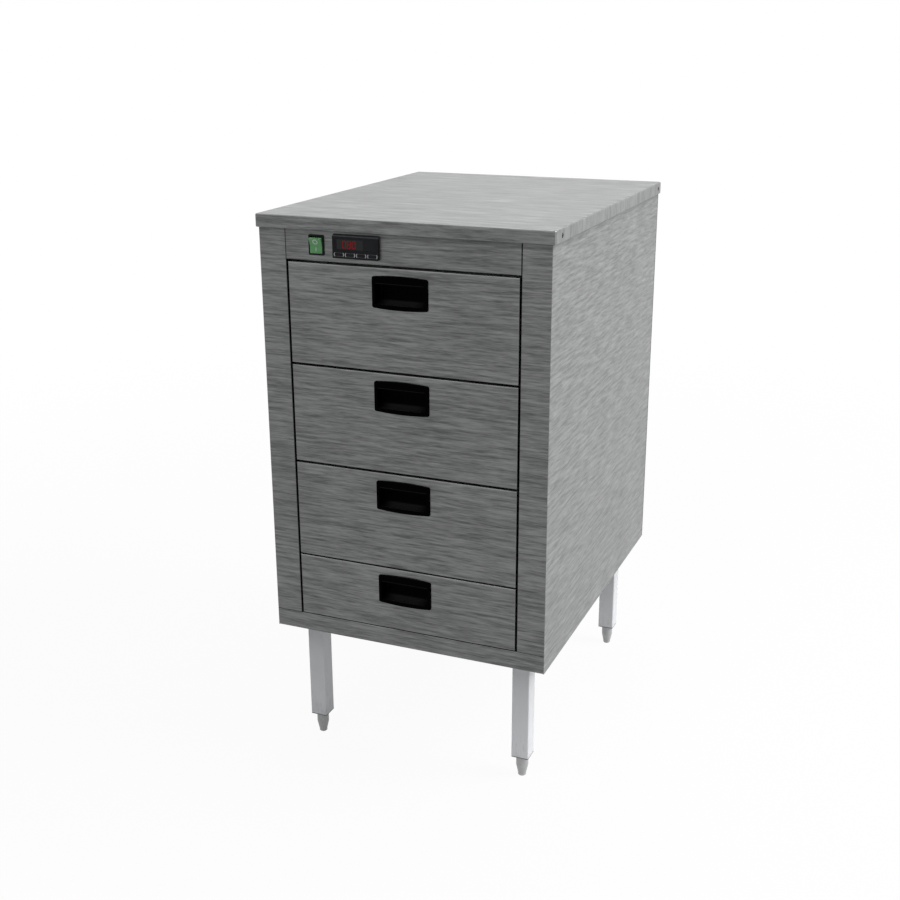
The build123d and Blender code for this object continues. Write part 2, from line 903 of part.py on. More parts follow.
with BuildPart() as controller_bezel:
    with BuildSketch(Plane.YZ.offset(control_x)):
        with BuildLine():
            Polyline(
                (front_y, control_z - control_height / 2),
                (front_y, control_z + control_height / 2),
                (front_y - control_brow, control_z + control_height / 2),
                (face_y, control_z + control_height / 2 - control_slope),
                (face_y, control_z - control_height / 2),
                close=True,
            )
        make_face()
    extrude(amount=control_width / 2, both=True)
    fillet(controller_bezel.edges().filter_by(Axis.Y), control_round)
    fillet(controller_bezel.faces().sort_by(Axis.Y)[0].edges(), control_round / 2)
    with BuildSketch(plane_facing_front(front_y)):
        with Locations((control_x, control_z)):
            Rectangle(case_width + 2 * case_play, case_height + 2 * case_play)
    extrude(amount=control_proud - control_face, mode=Mode.SUBTRACT)
    with BuildSketch(plane_facing_front(inner_y)):
        with Locations((control_x, window_z)):
            Rectangle(window_width, window_height)
        with Locations(*[(x, key_z) for x in key_xs]):
            Rectangle(key_width + 2 * fit, key_height + 2 * fit)
    extrude(amount=control_face, mode=Mode.SUBTRACT)
save(controller_bezel.part, "controller_bezel")

with BuildPart() as controller_window:
    with BuildSketch(plane_facing_front(inner_y)):
        with Locations((control_x, window_z)):
            Rectangle(window_width - 2 * seam, window_height - 2 * seam)
    extrude(amount=control_face - window_recess)
    with BuildSketch(plane_facing_front(inner_y)):
        with Locations((control_x, window_z)):
            Rectangle(window_width + 2 * window_flange, window_height + 2 * window_flange)
    extrude(amount=-window_flange)
save(controller_window.part, "controller_window")

for number, x in enumerate(key_xs, start=1):
    with BuildPart() as key:
        with BuildSketch(plane_facing_front(inner_y + fit)):
            with Locations((x, key_z)):
                Rectangle(key_width, key_height)
        extrude(amount=control_face + fit + key_rise)
        fillet(key.faces().sort_by(Axis.Y)[0].edges(), 0.6 * key_rise)
        with BuildSketch(plane_facing_front(inner_y + fit)):
            with Locations((x, key_z)):
                Rectangle(key_width + 4 * fit, key_height + 4 * fit)
        extrude(amount=-key_flange)
    save(key.part, f"controller_key_{number}")

with BuildPart() as controller_case:
    case_back = front_y + case_length
    with BuildSketch(plane_facing_front(case_back)):
        with Locations((control_x, control_z)):
            RectangleRounded(case_width, case_height, control_round)
    extrude(amount=case_back - case_front)
    with BuildSketch(plane_facing_front(case_back)):
        with Locations((control_x, control_z)):
            with GridLocations(case_width / 10, case_height / 2, 9, 2):
                Rectangle(case_width / 16, case_height / 4)
    extrude(amount=case_length / 8, mode=Mode.SUBTRACT)
    for hand in (-1, 1):
        clip_x = control_x + hand * (case_width / 2 + clip_width / 2 - seam)
        with BuildSketch(plane_facing_front(front_y + skin + seam)):
            with Locations((clip_x, control_z)):
                Rectangle(clip_width, clip_height)
        extrude(amount=-clip_length, taper=6)
save(controller_case.part, "controller_case")

# Rocker switch: housing clipped in the fascia, rocker on two pins
pivot_y = front_y - switch_proud + rocker_pivot
tilt = radians(rocker_tilt)
well_half = rocker_half * cos(tilt) + rocker_front * sin(tilt) + fit
rocker_valley = rocker_half * tan(tilt)

with BuildPart() as switch_housing:
    with BuildSketch(plane_facing_front(front_y)):
        with Locations((switch_x, switch_z)):
            RectangleRounded(switch_width, switch_height, 2 * switch_round)
    extrude(amount=switch_proud)
    fillet(switch_housing.faces().sort_by(Axis.Y)[0].edges(), switch_round)
    with BuildSketch(plane_facing_front(front_y)):
        with Locations((switch_x, switch_z)):
            Rectangle(switch_body_width, switch_body_height)
    extrude(amount=-switch_body_depth)
    with BuildSketch(plane_facing_front(front_y - switch_proud)):
        with Locations((switch_x, switch_z)):
            Rectangle(rocker_width + 2 * fit, 2 * well_half)
    extrude(amount=-rocker_pivot - 1.5 * rocker_back, mode=Mode.SUBTRACT)
    with Locations(Plane((switch_x, pivot_y, switch_z), z_dir=(1, 0, 0))):
        Cylinder(
            rocker_pin_radius + seam,
            rocker_width + 2 * (fit + rocker_pin_length),
            mode=Mode.SUBTRACT,
        )
save(switch_housing.part, "switch_housing")

with BuildPart() as switch_rocker:
    rocker_plane = Plane(
        (switch_x, pivot_y, switch_z),
        x_dir=(0, cos(tilt), sin(tilt)),
        z_dir=(1, 0, 0),
    )
    with BuildSketch(rocker_plane):
        with BuildLine():
            Polyline(
                (-rocker_front, -rocker_half),
                (rocker_valley - rocker_front, 0),
                (-rocker_front, rocker_half),
                (rocker_skirt - rocker_front, rocker_half),
                (rocker_back, rocker_back),
                (rocker_back, -rocker_back),
                (rocker_skirt - rocker_front, -rocker_half),
                close=True,
            )
        make_face()
    extrude(amount=rocker_width / 2, both=True)
    with Locations(rocker_plane):
        Cylinder(rocker_pin_radius, rocker_width + 2 * rocker_pin_length)
save(switch_rocker.part, "switch_rocker")

# Heating element: one bent tube in four runs over the cavity floor
run_front = front_y + element_front
run_back = liner_back_y - element_back
tail_y = liner_back_y + element_tail

with BuildPart() as heating_element:
    with BuildLine() as route:
        FilletPolyline(
            (-element_x, tail_y, element_z),
            (-element_x, run_front, element_z),
            (-element_pitch / 2, run_front, element_z),
            (-element_pitch / 2, run_back, element_z),
            (element_pitch / 2, run_back, element_z),
            (element_pitch / 2, run_front, element_z),
            (element_x, run_front, element_z),
            (element_x, tail_y, element_z),
            radius=element_bend,
        )
    with BuildSketch(plane_facing_front(tail_y)):
        with Locations((-element_x, element_z)):
            Circle(element_radius)
    sweep(path=route.wires()[0])
save(heating_element.part, "heating_element")

support_high = element_z - element_radius / 2
with BuildPart() as element_supports:
    for y, side in ((run_front + support_inset, Side.RIGHT), (run_back - support_inset, Side.RIGHT)):
        with BuildSketch(Plane.YZ.offset(-element_x - support_width)):
            add(
                folded_sheet(
                    [(y, element_z), (y, rail_top), (y - support_width, rail_top)],
                    support_sheet,
                    side,
                )
            )
        extrude(amount=2 * (element_x + support_width))
    with BuildSketch(plane_facing_front(run_back)):
        with Locations(*[((i - 1.5) * element_pitch, element_z) for i in range(4)]):
            Circle(element_radius + seam)
    extrude(amount=run_back - run_front, mode=Mode.SUBTRACT)
save(element_supports.part, "element_supports")

# Temperature probe through the back of the cavity
with BuildPart() as temperature_probe:
    with BuildSketch(plane_facing_front(liner_back_y + liner_sheet)):
        with Locations((probe_x, probe_z)):
            Circle(probe_radius)
    extrude(amount=probe_reach + liner_sheet)
    fillet(temperature_probe.faces().sort_by(Axis.Y)[0].edges(), probe_radius / 2)
    with BuildSketch(plane_facing_front(liner_back_y + liner_sheet)):
        with Locations((probe_x, probe_z)):
            RegularPolygon(probe_nut / 2, 6, major_radius=False)
    extrude(amount=-element_tail / 2)
save(temperature_probe.part, "temperature_probe")

# Terminal block on the wiring floor
terminal_z = fascia_z + skin
terminal_y = back_y - terminal_back
pole_pitch = terminal_length / (terminal_poles + 0.5)
with BuildPart() as terminal_block:
    with BuildSketch(Plane.XY.offset(terminal_z)):
        with Locations((terminal_x, terminal_y)):
            Rectangle(terminal_length, terminal_width)
    extrude(amount=0.6 * terminal_height)
    with BuildSketch(Plane.XY.offset(terminal_z)):
        with Locations((terminal_x, terminal_y)):
            with GridLocations(pole_pitch, 1, terminal_poles, 1):
                Rectangle(0.75 * pole_pitch, 0.7 * terminal_width)
    extrude(amount=terminal_height)
    with BuildSketch(Plane.XY.offset(terminal_z + terminal_height)):
        with Locations((terminal_x, terminal_y)):
            with GridLocations(pole_pitch, 0.35 * terminal_width, terminal_poles, 2):
                Circle(0.18 * pole_pitch)
    extrude(amount=-0.5 * terminal_height, mode=Mode.SUBTRACT)
save(terminal_block.part, "terminal_block")

# Cable gland in the back panel, with its lock nut inside
with BuildPart() as cable_gland:
    with BuildSketch(plane_facing_front(back_y)):
        with Locations((gland_x, gland_z)):
            RegularPolygon(gland_flats / 2, 6, major_radius=False)
    extrude(amount=-gland_hex)
    with BuildSketch(plane_facing_front(back_y + gland_hex)):
        with Locations((gland_x, gland_z)):
            Circle(gland_flats / 2)
    extrude(amount=gland_hex - gland_reach)
    fillet(cable_gland.faces().sort_by(Axis.Y)[-1].edges(), gland_flats / 5)
    with BuildSketch(plane_facing_front(back_y)):
        with Locations((gland_x, gland_z)):
            Circle(gland_thread_radius)
    extrude(amount=gland_inner)
    with BuildSketch(plane_facing_front(back_y - skin)):
        with Locations((gland_x, gland_z)):
            RegularPolygon(gland_flats / 2 + 1, 6, major_radius=False)
    extrude(amount=gland_nut_height)
    with BuildSketch(plane_facing_front(back_y + gland_reach)):
        with Locations((gland_x, gland_z)):
            Circle(gland_bore_radius)
    extrude(amount=gland_reach + gland_inner, mode=Mode.SUBTRACT)
save(cable_gland.part, "cable_gland")
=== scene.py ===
import bmesh
import bpy
import math
from mathutils import Matrix, Vector


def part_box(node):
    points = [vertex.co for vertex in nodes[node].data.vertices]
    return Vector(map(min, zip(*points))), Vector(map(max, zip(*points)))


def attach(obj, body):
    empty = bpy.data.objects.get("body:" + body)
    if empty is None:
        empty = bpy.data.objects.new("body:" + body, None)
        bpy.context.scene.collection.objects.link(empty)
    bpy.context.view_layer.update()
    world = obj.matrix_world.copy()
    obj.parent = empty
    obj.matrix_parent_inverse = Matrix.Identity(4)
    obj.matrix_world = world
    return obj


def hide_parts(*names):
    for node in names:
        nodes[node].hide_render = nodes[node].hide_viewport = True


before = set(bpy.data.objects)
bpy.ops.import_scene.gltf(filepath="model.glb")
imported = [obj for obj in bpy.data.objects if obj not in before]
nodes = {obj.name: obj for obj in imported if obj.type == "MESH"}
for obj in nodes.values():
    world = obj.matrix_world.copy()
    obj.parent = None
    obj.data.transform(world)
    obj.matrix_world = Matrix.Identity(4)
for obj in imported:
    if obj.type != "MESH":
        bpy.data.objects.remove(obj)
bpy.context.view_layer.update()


# Steps that node trees are made of

def fed(tree, socket, value):
    """Links a socket to another one, or sets it to a number, vector or colour."""
    if isinstance(value, bpy.types.NodeSocket):
        tree.links.new(value, socket)
    else:
        socket.default_value = value


def calc(tree, operation, first, second=0.0, clamp=False):
    """One step of arithmetic on numbers that change over the surface."""
    node = tree.nodes.new("ShaderNodeMath")
    node.operation = operation
    node.use_clamp = clamp
    fed(tree, node.inputs[0], first)
    fed(tree, node.inputs[1], second)
    return node.outputs["Value"]


def scaled(tree, value, factor, clamp=False):
    """A number, or two changing ones, multiplied."""
    return calc(tree, "MULTIPLY", value, factor, clamp)


def vector_calc(tree, operation, first, second=(0.0, 0.0, 0.0)):
    """One step of arithmetic on vectors."""
    node = tree.nodes.new("ShaderNodeVectorMath")
    node.operation = operation
    fed(tree, node.inputs[0], first)
    fed(tree, node.inputs[1], second)
    return node.outputs["Vector"]


def axis_parts(tree, vector):
    """The X, Y and Z of a place or direction."""
    node = tree.nodes.new("ShaderNodeSeparateXYZ")
    tree.links.new(vector, node.inputs[0])
    return node.outputs


def aside(tree, place):
    """How far a place lies to either side of the middle of the cabinet."""
    return calc(tree, "ABSOLUTE", axis_parts(tree, place)["X"])


def facing(tree):
    """Which way the surface looks."""
    return tree.nodes.new("ShaderNodeNewGeometry").outputs["Normal"]


def noise(tree, place, scale, detail=2.0, roughness=0.5):
    """Soft random pattern around 0.5."""
    node = tree.nodes.new("ShaderNodeTexNoise")
    fed(tree, node.inputs["Scale"], scale)
    node.inputs["Detail"].default_value = detail
    node.inputs["Roughness"].default_value = roughness
    tree.links.new(place, node.inputs["Vector"])
    return node.outputs["Fac"]


def streaked(tree, place, stretch, detail, roughness):
    """Noise drawn out along some axes; the stretch counts its waves in a metre of each."""
    return noise(tree, vector_calc(tree, "MULTIPLY", place, stretch), 1.0, detail, roughness)


def ranged(tree, value, low, high, to_low, to_high, smooth=False):
    """Carries a range of values over to another range, and stops at its ends."""
    node = tree.nodes.new("ShaderNodeMapRange")
    node.interpolation_type = "SMOOTHSTEP" if smooth else "LINEAR"
    for label, number in (
        ("From Min", low),
        ("From Max", high),
        ("To Min", to_low),
        ("To Max", to_high),
    ):
        node.inputs[label].default_value = number
    tree.links.new(value, node.inputs["Value"])
    return node.outputs["Result"]


def blended(tree, mask, first, second):
    """From one colour to another, by a mask; sockets 6, 7 and output 2 are the colours."""
    node = tree.nodes.new("ShaderNodeMix")
    node.data_type = "RGBA"
    tree.links.new(mask, node.inputs["Factor"])
    for socket, value in ((node.inputs[6], first), (node.inputs[7], second)):
        fed(tree, socket, (*value, 1.0) if isinstance(value, tuple) else value)
    return node.outputs[2]


def chosen(tree, mask, first, second):
    """From one vector to another, by a mask; sockets 4, 5 and output 1 are the vectors."""
    node = tree.nodes.new("ShaderNodeMix")
    node.data_type = "VECTOR"
    tree.links.new(mask, node.inputs["Factor"])
    fed(tree, node.inputs[4], first)
    fed(tree, node.inputs[5], second)
    return node.outputs[1]


# Node groups: effects that several materials share

def new_group(name, inputs, outputs):
    """An empty shader group with its sockets, what it is given and what it puts out."""
    group = bpy.data.node_groups.new(name, "ShaderNodeTree")
    for label, kind, value in inputs:
        socket = group.interface.new_socket(name=label, in_out="INPUT", socket_type=kind)
        socket.default_value = value
    for label, kind in outputs:
        group.interface.new_socket(name=label, in_out="OUTPUT", socket_type=kind)
    given = group.nodes.new("NodeGroupInput").outputs
    result = group.nodes.new("NodeGroupOutput").inputs
    return group, given, result


def brushed_grain_group():
    """Brushed sheet: coarse streaks and fine scratches along one direction, and slow clouds."""
    group, given, result = new_group(
        "Brushed grain",
        [
            ("Place", "NodeSocketVector", (0, 0, 0)),
            ("Stretch", "NodeSocketVector", (28, 420, 420)),
            ("Contrast", "NodeSocketFloat", 1.0),
        ],
        [
            ("Streaks", "NodeSocketFloat"),
            ("Clouds", "NodeSocketFloat"),
            ("Height", "NodeSocketFloat"),
        ],
    )
    drawn_out = vector_calc(group, "MULTIPLY", given["Place"], given["Stretch"])
    coarse = noise(group, drawn_out, 1.0, 3.0, 0.62)
    fine = streaked(group, drawn_out, (3.3, 3.1, 3.7), 2.0, 0.6)
    both = calc(group, "ADD", scaled(group, coarse, 0.68), scaled(group, fine, 0.32))
    centred = calc(group, "SUBTRACT", both, 0.5)
    stronger = scaled(group, scaled(group, centred, given["Contrast"]), 2.6)
    group.links.new(calc(group, "ADD", stronger, 0.5, clamp=True), result["Streaks"])
    group.links.new(noise(group, given["Place"], 7.0), result["Clouds"])
    group.links.new(both, result["Height"])
    return group


def edge_wear_and_highlight_group():
    """Mask that is 1 along the outer edges of a flat panel, broken up by noise."""
    group, given, result = new_group(
        "Edge wear and highlight",
        [
            ("Place", "NodeSocketVector", (0, 0, 0)),
            ("Centre", "NodeSocketVector", (0, 0, 0)),
            ("Half size", "NodeSocketVector", (1, 1, 1)),
            ("Width", "NodeSocketFloat", 0.002),
        ],
        [("Mask", "NodeSocketFloat")],
    )
    from_centre = vector_calc(group, "SUBTRACT", given["Place"], given["Centre"])
    distance = vector_calc(group, "ABSOLUTE", from_centre)
    left_over = axis_parts(group, vector_calc(group, "SUBTRACT", given["Half size"], distance))
    nearest = calc(group, "MINIMUM", left_over["X"], left_over["Z"])
    close = calc(group, "SUBTRACT", 1.0, calc(group, "DIVIDE", nearest, given["Width"]), clamp=True)
    broken = ranged(group, noise(group, given["Place"], 90.0, 3.0, 0.6), 0.35, 0.7, 0.25, 1.0)
    group.links.new(scaled(group, close, broken), result["Mask"])
    return group


def handling_haze_group():
    """Mask of wiped and touched areas, from large soft patches and small smears."""
    group, given, result = new_group(
        "Handling haze",
        [("Place", "NodeSocketVector", (0, 0, 0)), ("Amount", "NodeSocketFloat", 0.5)],
        [("Mask", "NodeSocketFloat")],
    )
    soft = noise(group, given["Place"], 5.0, 3.0, 0.55)
    patches = ranged(group, soft, 0.42, 0.68, 0.0, 1.0, smooth=True)
    wiped = streaked(group, given["Place"], (26, 26, 9), 4.0, 0.6)
    smears = ranged(group, wiped, 0.4, 0.75, 0.0, 1.0)
    both = calc(group, "ADD", scaled(group, patches, 0.6), scaled(group, smears, 0.4))
    group.links.new(scaled(group, both, given["Amount"], clamp=True), result["Mask"])
    return group


def settled_dust_group():
    """Mask of dust on faces that look up."""
    group, given, result = new_group(
        "Settled dust",
        [
            ("Place", "NodeSocketVector", (0, 0, 0)),
            ("Facing", "NodeSocketVector", (0, 0, 1)),
            ("Amount", "NodeSocketFloat", 0.3),
        ],
        [("Mask", "NodeSocketFloat")],
    )
    upward = ranged(group, axis_parts(group, given["Facing"])["Z"], 0.3, 0.95, 0.0, 1.0, smooth=True)
    specks = ranged(group, noise(group, given["Place"], 260.0, 3.0, 0.7), 0.45, 0.75, 0.15, 1.0)
    drifts = ranged(group, noise(group, given["Place"], 14.0), 0.35, 0.65, 0.2, 1.0)
    lying = scaled(group, scaled(group, specks, drifts), upward)
    group.links.new(scaled(group, lying, given["Amount"], clamp=True), result["Mask"])
    return group


def moulded_skin_group():
    """Surface of moulded plastic: fine spark-eroded grain and faint flow marks."""
    group, given, result = new_group(
        "Moulded skin",
        [("Place", "NodeSocketVector", (0, 0, 0)), ("Grain", "NodeSocketFloat", 1800.0)],
        [("Height", "NodeSocketFloat"), ("Flow", "NodeSocketFloat")],
    )
    group.links.new(noise(group, given["Place"], given["Grain"]), result["Height"])
    group.links.new(streaked(group, given["Place"], (30, 60, 90), 3.0, 0.5), result["Flow"])
    return group


def sheet_faces_group():
    """Which way a folded sheet faces: masks for its upright sides and for its flat top."""
    group, given, result = new_group(
        "Sheet faces",
        [("Facing", "NodeSocketVector", (0, 0, 1))],
        [("Side", "NodeSocketFloat"), ("Top", "NodeSocketFloat")],
    )
    parts = axis_parts(group, given["Facing"])
    for axis, label in (("X", "Side"), ("Z", "Top")):
        turned = calc(group, "ABSOLUTE", parts[axis])
        group.links.new(ranged(group, turned, 0.6, 0.8, 0.0, 1.0, smooth=True), result[label])
    return group


def level_line_group():
    """Mask of a line at one height that fades over its reach to either side."""
    group, given, result = new_group(
        "Level line",
        [
            ("Place", "NodeSocketVector", (0, 0, 0)),
            ("Level", "NodeSocketFloat", 0.88),
            ("Reach", "NodeSocketFloat", 0.005),
            ("Break up", "NodeSocketFloat", 0.3),
        ],
        [("Mask", "NodeSocketFloat")],
    )
    height = calc(group, "SUBTRACT", axis_parts(group, given["Place"])["Z"], given["Level"])
    share = calc(group, "DIVIDE", calc(group, "ABSOLUTE", height), given["Reach"])
    close = calc(group, "SUBTRACT", 1.0, share, clamp=True)
    uneven = streaked(group, given["Place"], (60, 60, 400), 3.0, 0.6)
    lost = scaled(group, uneven, given["Break up"])
    group.links.new(calc(group, "SUBTRACT", close, lost, clamp=True), result["Mask"])
    return group


brushed_grain = brushed_grain_group()
edge_wear_and_highlight = edge_wear_and_highlight_group()
handling_haze = handling_haze_group()
settled_dust = settled_dust_group()
moulded_skin = moulded_skin_group()
sheet_faces = sheet_faces_group()
level_line = level_line_group()


# Finishes

def new_finish(name, metallic, **constants):
    """A material with its shader and Object coordinates; constants are set on the shader."""
    material = bpy.data.materials.new(name)
    material.use_nodes = True
    tree = material.node_tree
    shader = tree.nodes["Principled BSDF"]
    shader.inputs["Metallic"].default_value = metallic
    for label, value in constants.items():
        shader.inputs[label.replace("_", " ")].default_value = value
    place = tree.nodes.new("ShaderNodeTexCoord").outputs["Object"]
    return material, tree, shader, place


def placed_group(tree, group, links, **values):
    """A node group in a material, with its linked inputs and its set ones."""
    node = tree.nodes.new("ShaderNodeGroup")
    node.node_tree = group
    for label, source in links.items():
        tree.links.new(source, node.inputs[label])
    for label, value in values.items():
        node.inputs[label.replace("_", " ")].default_value = value
    return node.outputs


def bump(tree, shader, height, strength, distance):
    """Fine relief of the surface, by a pattern of heights."""
    node = tree.nodes.new("ShaderNodeBump")
    node.inputs["Strength"].default_value = strength
    node.inputs["Distance"].default_value = distance
    tree.links.new(height, node.inputs["Height"])
    tree.links.new(node.outputs["Normal"], shader.inputs["Normal"])


def dusted(tree, place, colour, amount, dust):
    """Colour with dust on the ledges."""
    lying = placed_group(tree, settled_dust, {"Place": place, "Facing": facing(tree)}, Amount=amount)
    return blended(tree, lying["Mask"], colour, dust)


def toned_line(tree, place, colour, level, reach, break_up, share, tone):
    """Colour changed along a line at one height; the share is a number or changes too."""
    line = placed_group(
        tree, level_line, {"Place": place}, Level=level, Reach=reach, Break_up=break_up,
    )
    return blended(tree, scaled(tree, line["Mask"], share), colour, tone)


def steel_grey(value):
    """Neutral steel of a lightness, a touch green."""
    return (0.985 * value, 1.01 * value, value)


# Directions of the brushed grain, as waves in a metre of X, Y and Z
ACROSS = (18.0, 300.0, 300.0)
ACROSS_TOP = (10.0, 165.0, 330.0)
DEEP = (330.0, 20.0, 215.0)
UPRIGHT = (200.0, 200.0, 26.0)

# Dark and light streak of the steel, by the way a face looks or by the kind of sheet.
# FRONT, SIDE and TOP paint light and shade on one steel: darker facing the front, lighter on sides and
# tops
FRONT = (0.087, 0.217)
# The fascia is a touch darker than the fronts: painted shade under the worktop's lip
FASCIA = (0.08, 0.2)
SIDE = (0.2, 0.415)
TOP = (0.2, 0.465)
BACK = (0.2, 0.34)
LINER = (0.36, 0.42)
TRAY = (0.4, 0.48)

# Height of the lower edge of the worktop's lip, and the gap from a drawer front to a stile
LIP_EDGE = 0.88
DRAWER_SIDE_GAP = 0.0027


# Marks: each takes the colour of a sheet so far and changes it in one place

def rubbed_and_highlit_edges(node):
    """Outer edges of a panel, lighter: rubbed wear and a painted highlight."""
    low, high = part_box(node)
    sizes = {"Centre": (low + high) / 2, "Half_size": (high - low) / 2, "Width": 0.003}

    def mark(tree, place, faces, colour):
        edge = placed_group(tree, edge_wear_and_highlight, {"Place": place}, **sizes)["Mask"]
        # Lighter edges: rubbed wear and a painted highlight
        return blended(tree, scaled(tree, edge, 0.15), colour, steel_grey(1.2 * FRONT[1]))

    return mark


def painted_dark_corners(node):
    """Upper front corners of the worktop where its lips meet, painted darker: painted shade over the
    lamp's highlight on their rounding.
    """
    low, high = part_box(node)

    def mark(tree, place, faces, colour):
        parts = axis_parts(tree, place)
        end = ranged(tree, aside(tree, place), high.x - 0.004, high.x - 0.001, 0.0, 1.0)
        upper = ranged(tree, parts["Z"], high.z - 0.003, high.z - 0.0005, 0.0, 1.0)
        ahead = ranged(tree, parts["Y"], low.y + 0.001, low.y + 0.004, 0.7, 0.0)
        corner = scaled(tree, scaled(tree, end, upper), ahead)
        # Painted shade on the corner
        return blended(tree, corner, colour, steel_grey(0.1))

    return mark


def shade_under_lip(level):
    """Painted shadow: soft shade round the lower edge of the worktop's lip, and a darker painted
    contact shadow right below it.
    """

    def mark(tree, place, faces, colour):
        dark = steel_grey(0.02)
        colour = toned_line(
            tree, place, colour, level, reach=0.013, break_up=0.15, share=0.42, tone=dark,
        )
        # Painted contact shadow right below the lip, stronger on the sides
        contact_shadow_share = ranged(tree, faces["Side"], 0.0, 1.0, 0.25, 0.8)
        return toned_line(
            tree, place, colour, level, reach=0.0022, break_up=0.1, share=contact_shadow_share, tone=dark,
        )

    return mark


def bright_fold(level):
    """Painted highlight along the upper fold of a drawer front."""

    def mark(tree, place, faces, colour):
        light = steel_grey(1.6 * FRONT[1])
        return toned_line(
            tree, place, colour, level, reach=0.0022, break_up=0.3, share=0.24, tone=light,
        )

    return mark


def dark_stile_folds(start):
    """Painted shade on the folds of the stiles beside the drawers, where they turn into the gap."""

    def mark(tree, place, faces, colour):
        fold = ranged(
            tree, aside(tree, place), start + 0.0004, start + 0.0011, 0.85, 0.0, smooth=True,
        )
        return blended(tree, fold, colour, steel_grey(0.015))

    return mark


def folded_steel(
    name, front, side, top, marks=(),
    side_grain=DEEP, top_grain=ACROSS, rough=0.42, haze=0.35, contrast=1.4,
):
    """Brushed sheet whose grain turns with its folds; a tone is a dark and a light streak, and each
    way a face looks can get its own tone, as painted light and shade.
    """
    material, tree, shader, place = new_finish(name, 1.0)
    faces = placed_group(tree, sheet_faces, {"Facing": facing(tree)})
    stretch = chosen(tree, faces["Side"], ACROSS, side_grain)
    stretch = chosen(tree, faces["Top"], stretch, top_grain)
    grain = placed_group(
        tree, brushed_grain, {"Place": place, "Stretch": stretch}, Contrast=contrast,
    )
    # Painted light and shade: one steel in its own tone for the front, the sides and the top
    front_tone, side_tone, top_tone = (
        blended(tree, grain["Streaks"], steel_grey(dark), steel_grey(light))
        for dark, light in (front, side, top)
    )
    colour = blended(tree, faces["Side"], front_tone, side_tone)
    colour = blended(tree, faces["Top"], colour, top_tone)
    clouded = ranged(tree, grain["Clouds"], 0.3, 0.7, 0.0, 0.1)
    colour = blended(tree, clouded, colour, steel_grey(0.8 * front[0]))
    for mark in marks:
        colour = mark(tree, place, faces, colour)
    tree.links.new(colour, shader.inputs["Base Color"])
    touched = placed_group(tree, handling_haze, {"Place": place}, Amount=haze)["Mask"]
    scratched = ranged(tree, grain["Streaks"], 0.0, 1.0, rough - 0.04, rough + 0.05)
    dulled = calc(tree, "ADD", scratched, scaled(tree, touched, 0.08))
    tree.links.new(dulled, shader.inputs["Roughness"])
    bump(tree, shader, grain["Height"], 0.25, 0.0002)
    return material


def front_steel(node):
    """Sheet of a drawer front: rubbed wear and a painted highlight at its edges, and a painted
    highlight along its upper fold.
    """
    upper_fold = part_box(node)[1].z - 0.001
    marks = (rubbed_and_highlit_edges(node), bright_fold(upper_fold))
    return folded_steel(f"Brushed {node}", FRONT, FRONT, SIDE, marks)


def moulded_plastic(
    name, colour, rough, grain=1800.0, depth=0.2, dust=0.0,
    top_light=None, top_light_reach=None, edge_highlight=None, edge_highlight_reach=None, **constants,
):
    """Moulded plastic: grain, flow marks, haze and dust.

    The top light is painted light on faces that look up, and the edge highlight is the height and
    the tone of a painted highlight along an edge. Each fades out toward its reach to the sides.
    """
    material, tree, shader, place = new_finish(name, 0.0, **constants)
    skin = placed_group(tree, moulded_skin, {"Place": place}, Grain=grain)
    flow = ranged(tree, skin["Flow"], 0.3, 0.7, 0.0, 1.0)
    darker, lighter = (tuple(share * part for part in colour) for share in (0.82, 1.15))
    tone = blended(tree, flow, darker, lighter)
    if dust:
        tone = dusted(tree, place, tone, dust, (0.3, 0.29, 0.28))
    # Painted light on faces that look up
    if top_light:
        above = placed_group(tree, sheet_faces, {"Facing": facing(tree)})["Top"]
        if top_light_reach:
            near = ranged(
                tree, aside(tree, place), 0.4 * top_light_reach, top_light_reach, 1.0, 0.1, smooth=True,
            )
            above = scaled(tree, above, near)
        tone = blended(tree, above, tone, top_light)
    # Painted highlight along one edge
    if edge_highlight:
        level, line_tone = edge_highlight
        share = 1.0
        if edge_highlight_reach:
            share = ranged(tree, aside(tree, place), edge_highlight_reach - 0.0025, edge_highlight_reach, 1.0, 0.0)
        tone = toned_line(
            tree, place, tone, level, reach=0.0014, break_up=0.3, share=share, tone=line_tone,
        )
    tree.links.new(tone, shader.inputs["Base Color"])
    touched = placed_group(tree, handling_haze, {"Place": place}, Amount=0.5)["Mask"]
    tree.links.new(ranged(tree, touched, 0.0, 1.0, rough, rough + 0.12), shader.inputs["Roughness"])
    bump(tree, shader, skin["Height"], depth, 0.00008)
    return material


def black_pull(node):
    """Black recessed pull: its ramp gets painted light, and the rim of its hood a painted highlight.
    """
    rim_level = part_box(node)[1].z - 0.0127
    return moulded_plastic(
        f"Black {node}", (0.0004, 0.0004, 0.0004), 0.42, 1500.0, 0.25,
        top_light=(0.024, 0.024, 0.024), top_light_reach=0.042,
        edge_highlight=(rim_level, (0.026, 0.026, 0.026)), edge_highlight_reach=0.04, Specular_IOR_Level=0.01,
    )


def small_metal(name, dark, light, rough, scale, metallic=1.0, dust=0.0):
    """Small metal parts: mottled tone, uneven gloss, fine pitting."""
    material, tree, shader, place = new_finish(name, metallic)
    mottle = noise(tree, place, scale, 4.0, 0.6)
    colour = blended(tree, ranged(tree, mottle, 0.3, 0.7, 0.0, 1.0), dark, light)
    if dust:
        colour = dusted(tree, place, colour, dust, (0.42, 0.41, 0.39))
    tree.links.new(colour, shader.inputs["Base Color"])
    gloss = ranged(tree, mottle, 0.3, 0.7, rough - 0.06, rough + 0.08)
    tree.links.new(gloss, shader.inputs["Roughness"])
    bump(tree, shader, noise(tree, place, 6 * scale), 0.15, 0.0001)
    return material


